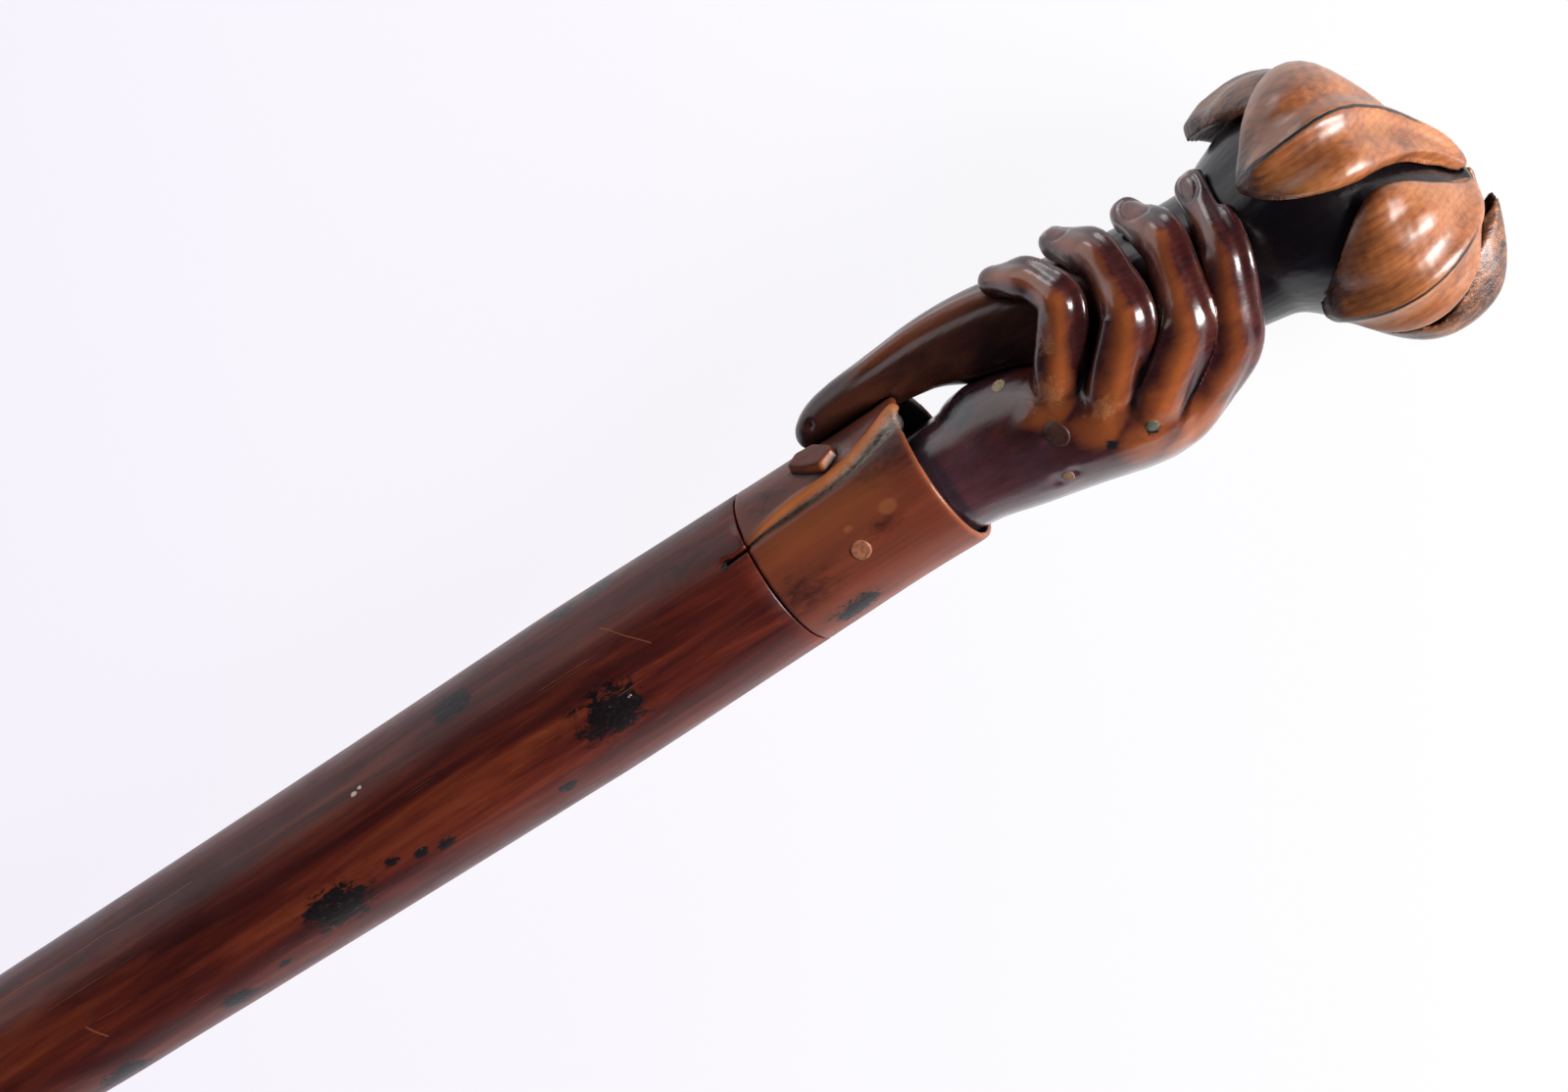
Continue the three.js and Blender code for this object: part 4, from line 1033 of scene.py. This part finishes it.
def make_peg(node, wood, radius, tone):
    """A peg whose end is cut flush with the wood that it sits in."""
    middle, way = peg_line(node)
    end = wood.ray_cast(middle + 9 * MM * way, -way)[0]
    turn = way.to_track_quat("Z", "Y").to_matrix().to_4x4()
    edit = bmesh.new()
    half_sunk = Matrix.Translation(end - PEG_DEPTH / 2 * MM * way)
    bmesh.ops.create_cone(edit, cap_ends=True, segments=28, radius1=radius * MM, radius2=radius * MM,
                          depth=PEG_DEPTH * MM, matrix=half_sunk @ turn)
    edit.faces.ensure_lookup_table()
    cap = max(edit.faces, key=lambda face: face.calc_center_median().dot(way))
    for _ in range(PEG_RINGS):
        bmesh.ops.inset_individual(edit, faces=[cap], thickness=radius * MM / (1.5 * PEG_RINGS))
    for vertex in edit.verts:
        if (vertex.co - end).dot(way) > -0.5 * MM:
            seat = wood.ray_cast(vertex.co + 4 * MM * way, -way)[0]
            if seat:
                vertex.co = seat + PEG_PROUD * MM * way
    piece = copy_of(node)
    edit.to_mesh(piece.data)
    edit.free()
    surface = Surface(piece.data)
    surface.keep("tone", np.full(len(surface.points), tone))
    show(piece, node)


CLOSE = 1.4 * MM  # pieces nearer than this are darkened between them: painted shade, with dirt in the joints


def mark_joints(pieces, trees):
    """Tells each point of a skin how near the next piece is, from 0 up to 1 where they touch."""
    surfaces = {node: Surface(piece.data) for node, piece in pieces.items()}
    for node, surface in surfaces.items():
        near = np.zeros(len(surface.points))
        for other in pieces:
            if other == node:
                continue
            low, high = surfaces[other].points.min(0) - CLOSE, surfaces[other].points.max(0) + CLOSE
            for i in np.flatnonzero(((surface.points > low) & (surface.points < high)).all(1)):
                distance = trees[other].find_nearest(surface.points[i], CLOSE)[3]
                if distance is not None:
                    near[i] = max(near[i], 1 - distance / CLOSE)
        surface.keep("near", near)


# Each peg's radius, and its tone: pale, orange, brown, stained dark or greenish.
PEGS = {
    "hand_peg_1": (1.25, 0.0),
    "cuff_peg": (1.8, 0.2),
    "hand_peg_2": (1.1, 0.4),
    "hand_peg_3": (2.0, 0.6),
    "hand_peg_4": (1.1, 0.8),
}

make_shank()
carvings = {
    "cuff": make_cuff(),
    "cuff_button": make_button(),
    "hand": make_hand(),
    "stalk": make_stalk(),
}
for leaf in LEAF_DARKNESS:
    carvings[leaf] = make_leaf(leaf)
carving_trees = {node: tree_of(piece) for node, piece in carvings.items()}
mark_joints(carvings, carving_trees)
for peg, (radius, tone) in PEGS.items():
    make_peg(peg, carving_trees["cuff" if peg == "cuff_peg" else "hand"], radius, tone)

# The dowel and the metal pieces show as they are.
DRESSED = ("shank", *carvings, *PEGS)
for node, part in frame["nodes"].items():
    if node not in DRESSED:
        part.data.materials.clear()
        part.data.materials.append(FINISH[SLOT_OF[node]])


FLOOR_SIZE = 6
FLOOR_GLOW = 0.94  # the share of light of its own in the paper's look; the rest shows the shadow


def make_floor():
    """White paper that shows almost plain white, mostly by its own even glow, with painted light making it
    whiter towards one side; it keeps a soft shadow.
    """
    bpy.ops.mesh.primitive_plane_add(size=FLOOR_SIZE, location=(0, 0, 0))
    floor = bpy.context.object
    floor.name = "floor"
    made, tree, place = finish("white_paper", 0.9)
    # Painted light: the paper's tint turns from pale lavender to white along this direction, like a pool of
    # light.
    aside = add(tree, "VectorMath", [place, (0.84, -0.54, 0)], output="Value", operation="DOT_PRODUCT")
    tint = paint(tree, "#f9f5ff", [(aside, "#ffffff", 1, -150.0, 120.0)])
    fibre = lumps(place, (1.5, 1.5, 1.5), detail=2)
    complete(made, place, tint, [(fibre, 0.01)])
    seen = 0.0
    for ray in ("Is Camera Ray", "Is Glossy Ray", "Is Transmission Ray"):
        seen = add(tree, "Math", [seen, add(tree, "LightPath", output=ray)], operation="MAXIMUM")
    amount = add(tree, "Math", [seen, FLOOR_GLOW], operation="MULTIPLY")
    glow = add(tree, "Emission", [tint, 1.0])
    paper = tree.nodes["Principled BSDF"].outputs[0]
    mixed = add(tree, "MixShader", [amount, paper, glow])
    tree.links.new(mixed, tree.nodes["Material Output"].inputs["Surface"])
    floor.data.materials.append(made)


def make_air():
    """A studio that is bright all round and dim overhead."""
    air = bpy.data.worlds.new("air")
    air.use_nodes = True
    scene.world = air
    tree = air.node_tree
    way = add(tree, "TexCoord", output="Generated")
    height = add(tree, "SeparateXYZ", [way], output="Z")
    tint = add(tree, "ValToRGB", [height], stops=[
        [0.0, "#ffffff"], [0.05, "#b9b3c6"], [0.16, "#5d596b"], [0.4, "#34323d"]])
    back = tree.nodes["Background"]
    tree.links.new(tint, back.inputs["Color"])
    back.inputs["Strength"].default_value = 1.2


# Softboxes, in metres: the place of each, measured from the fist rightwards, upwards and towards the
# camera, its width and height, and its power. The glint is small, for the wet spots on the varnish.
LAMPS = {
    "fill": ((-0.92, 0.44, 0.2), (1.0, 0.6), 2.6),
    "glint": ((-0.17, 0.3, 0.06), (0.1, 0.1), 0.15),
    "side": ((0.88, 0.03, 0.63), (0.4, 0.75), 27),
}
FIST = SEAM + 0.06 * ALONG


def make_lamp(name, place, size, power):
    """A softbox that looks at the fist."""
    lamp = bpy.data.objects.new(name, bpy.data.lights.new(name, "AREA"))
    scene.collection.objects.link(lamp)
    lamp.data.shape = "RECTANGLE"
    lamp.data.size, lamp.data.size_y = size
    lamp.data.energy = power
    lamp.location = FIST + place[0] * RIGHT + place[1] * UP + place[2] * SIGHT
    lamp.rotation_euler = (FIST - lamp.location).to_track_quat("-Z", "Y").to_euler()


make_floor()
make_air()
for name, settings in LAMPS.items():
    make_lamp(name, *settings)

scene.view_settings.view_transform = "Standard"
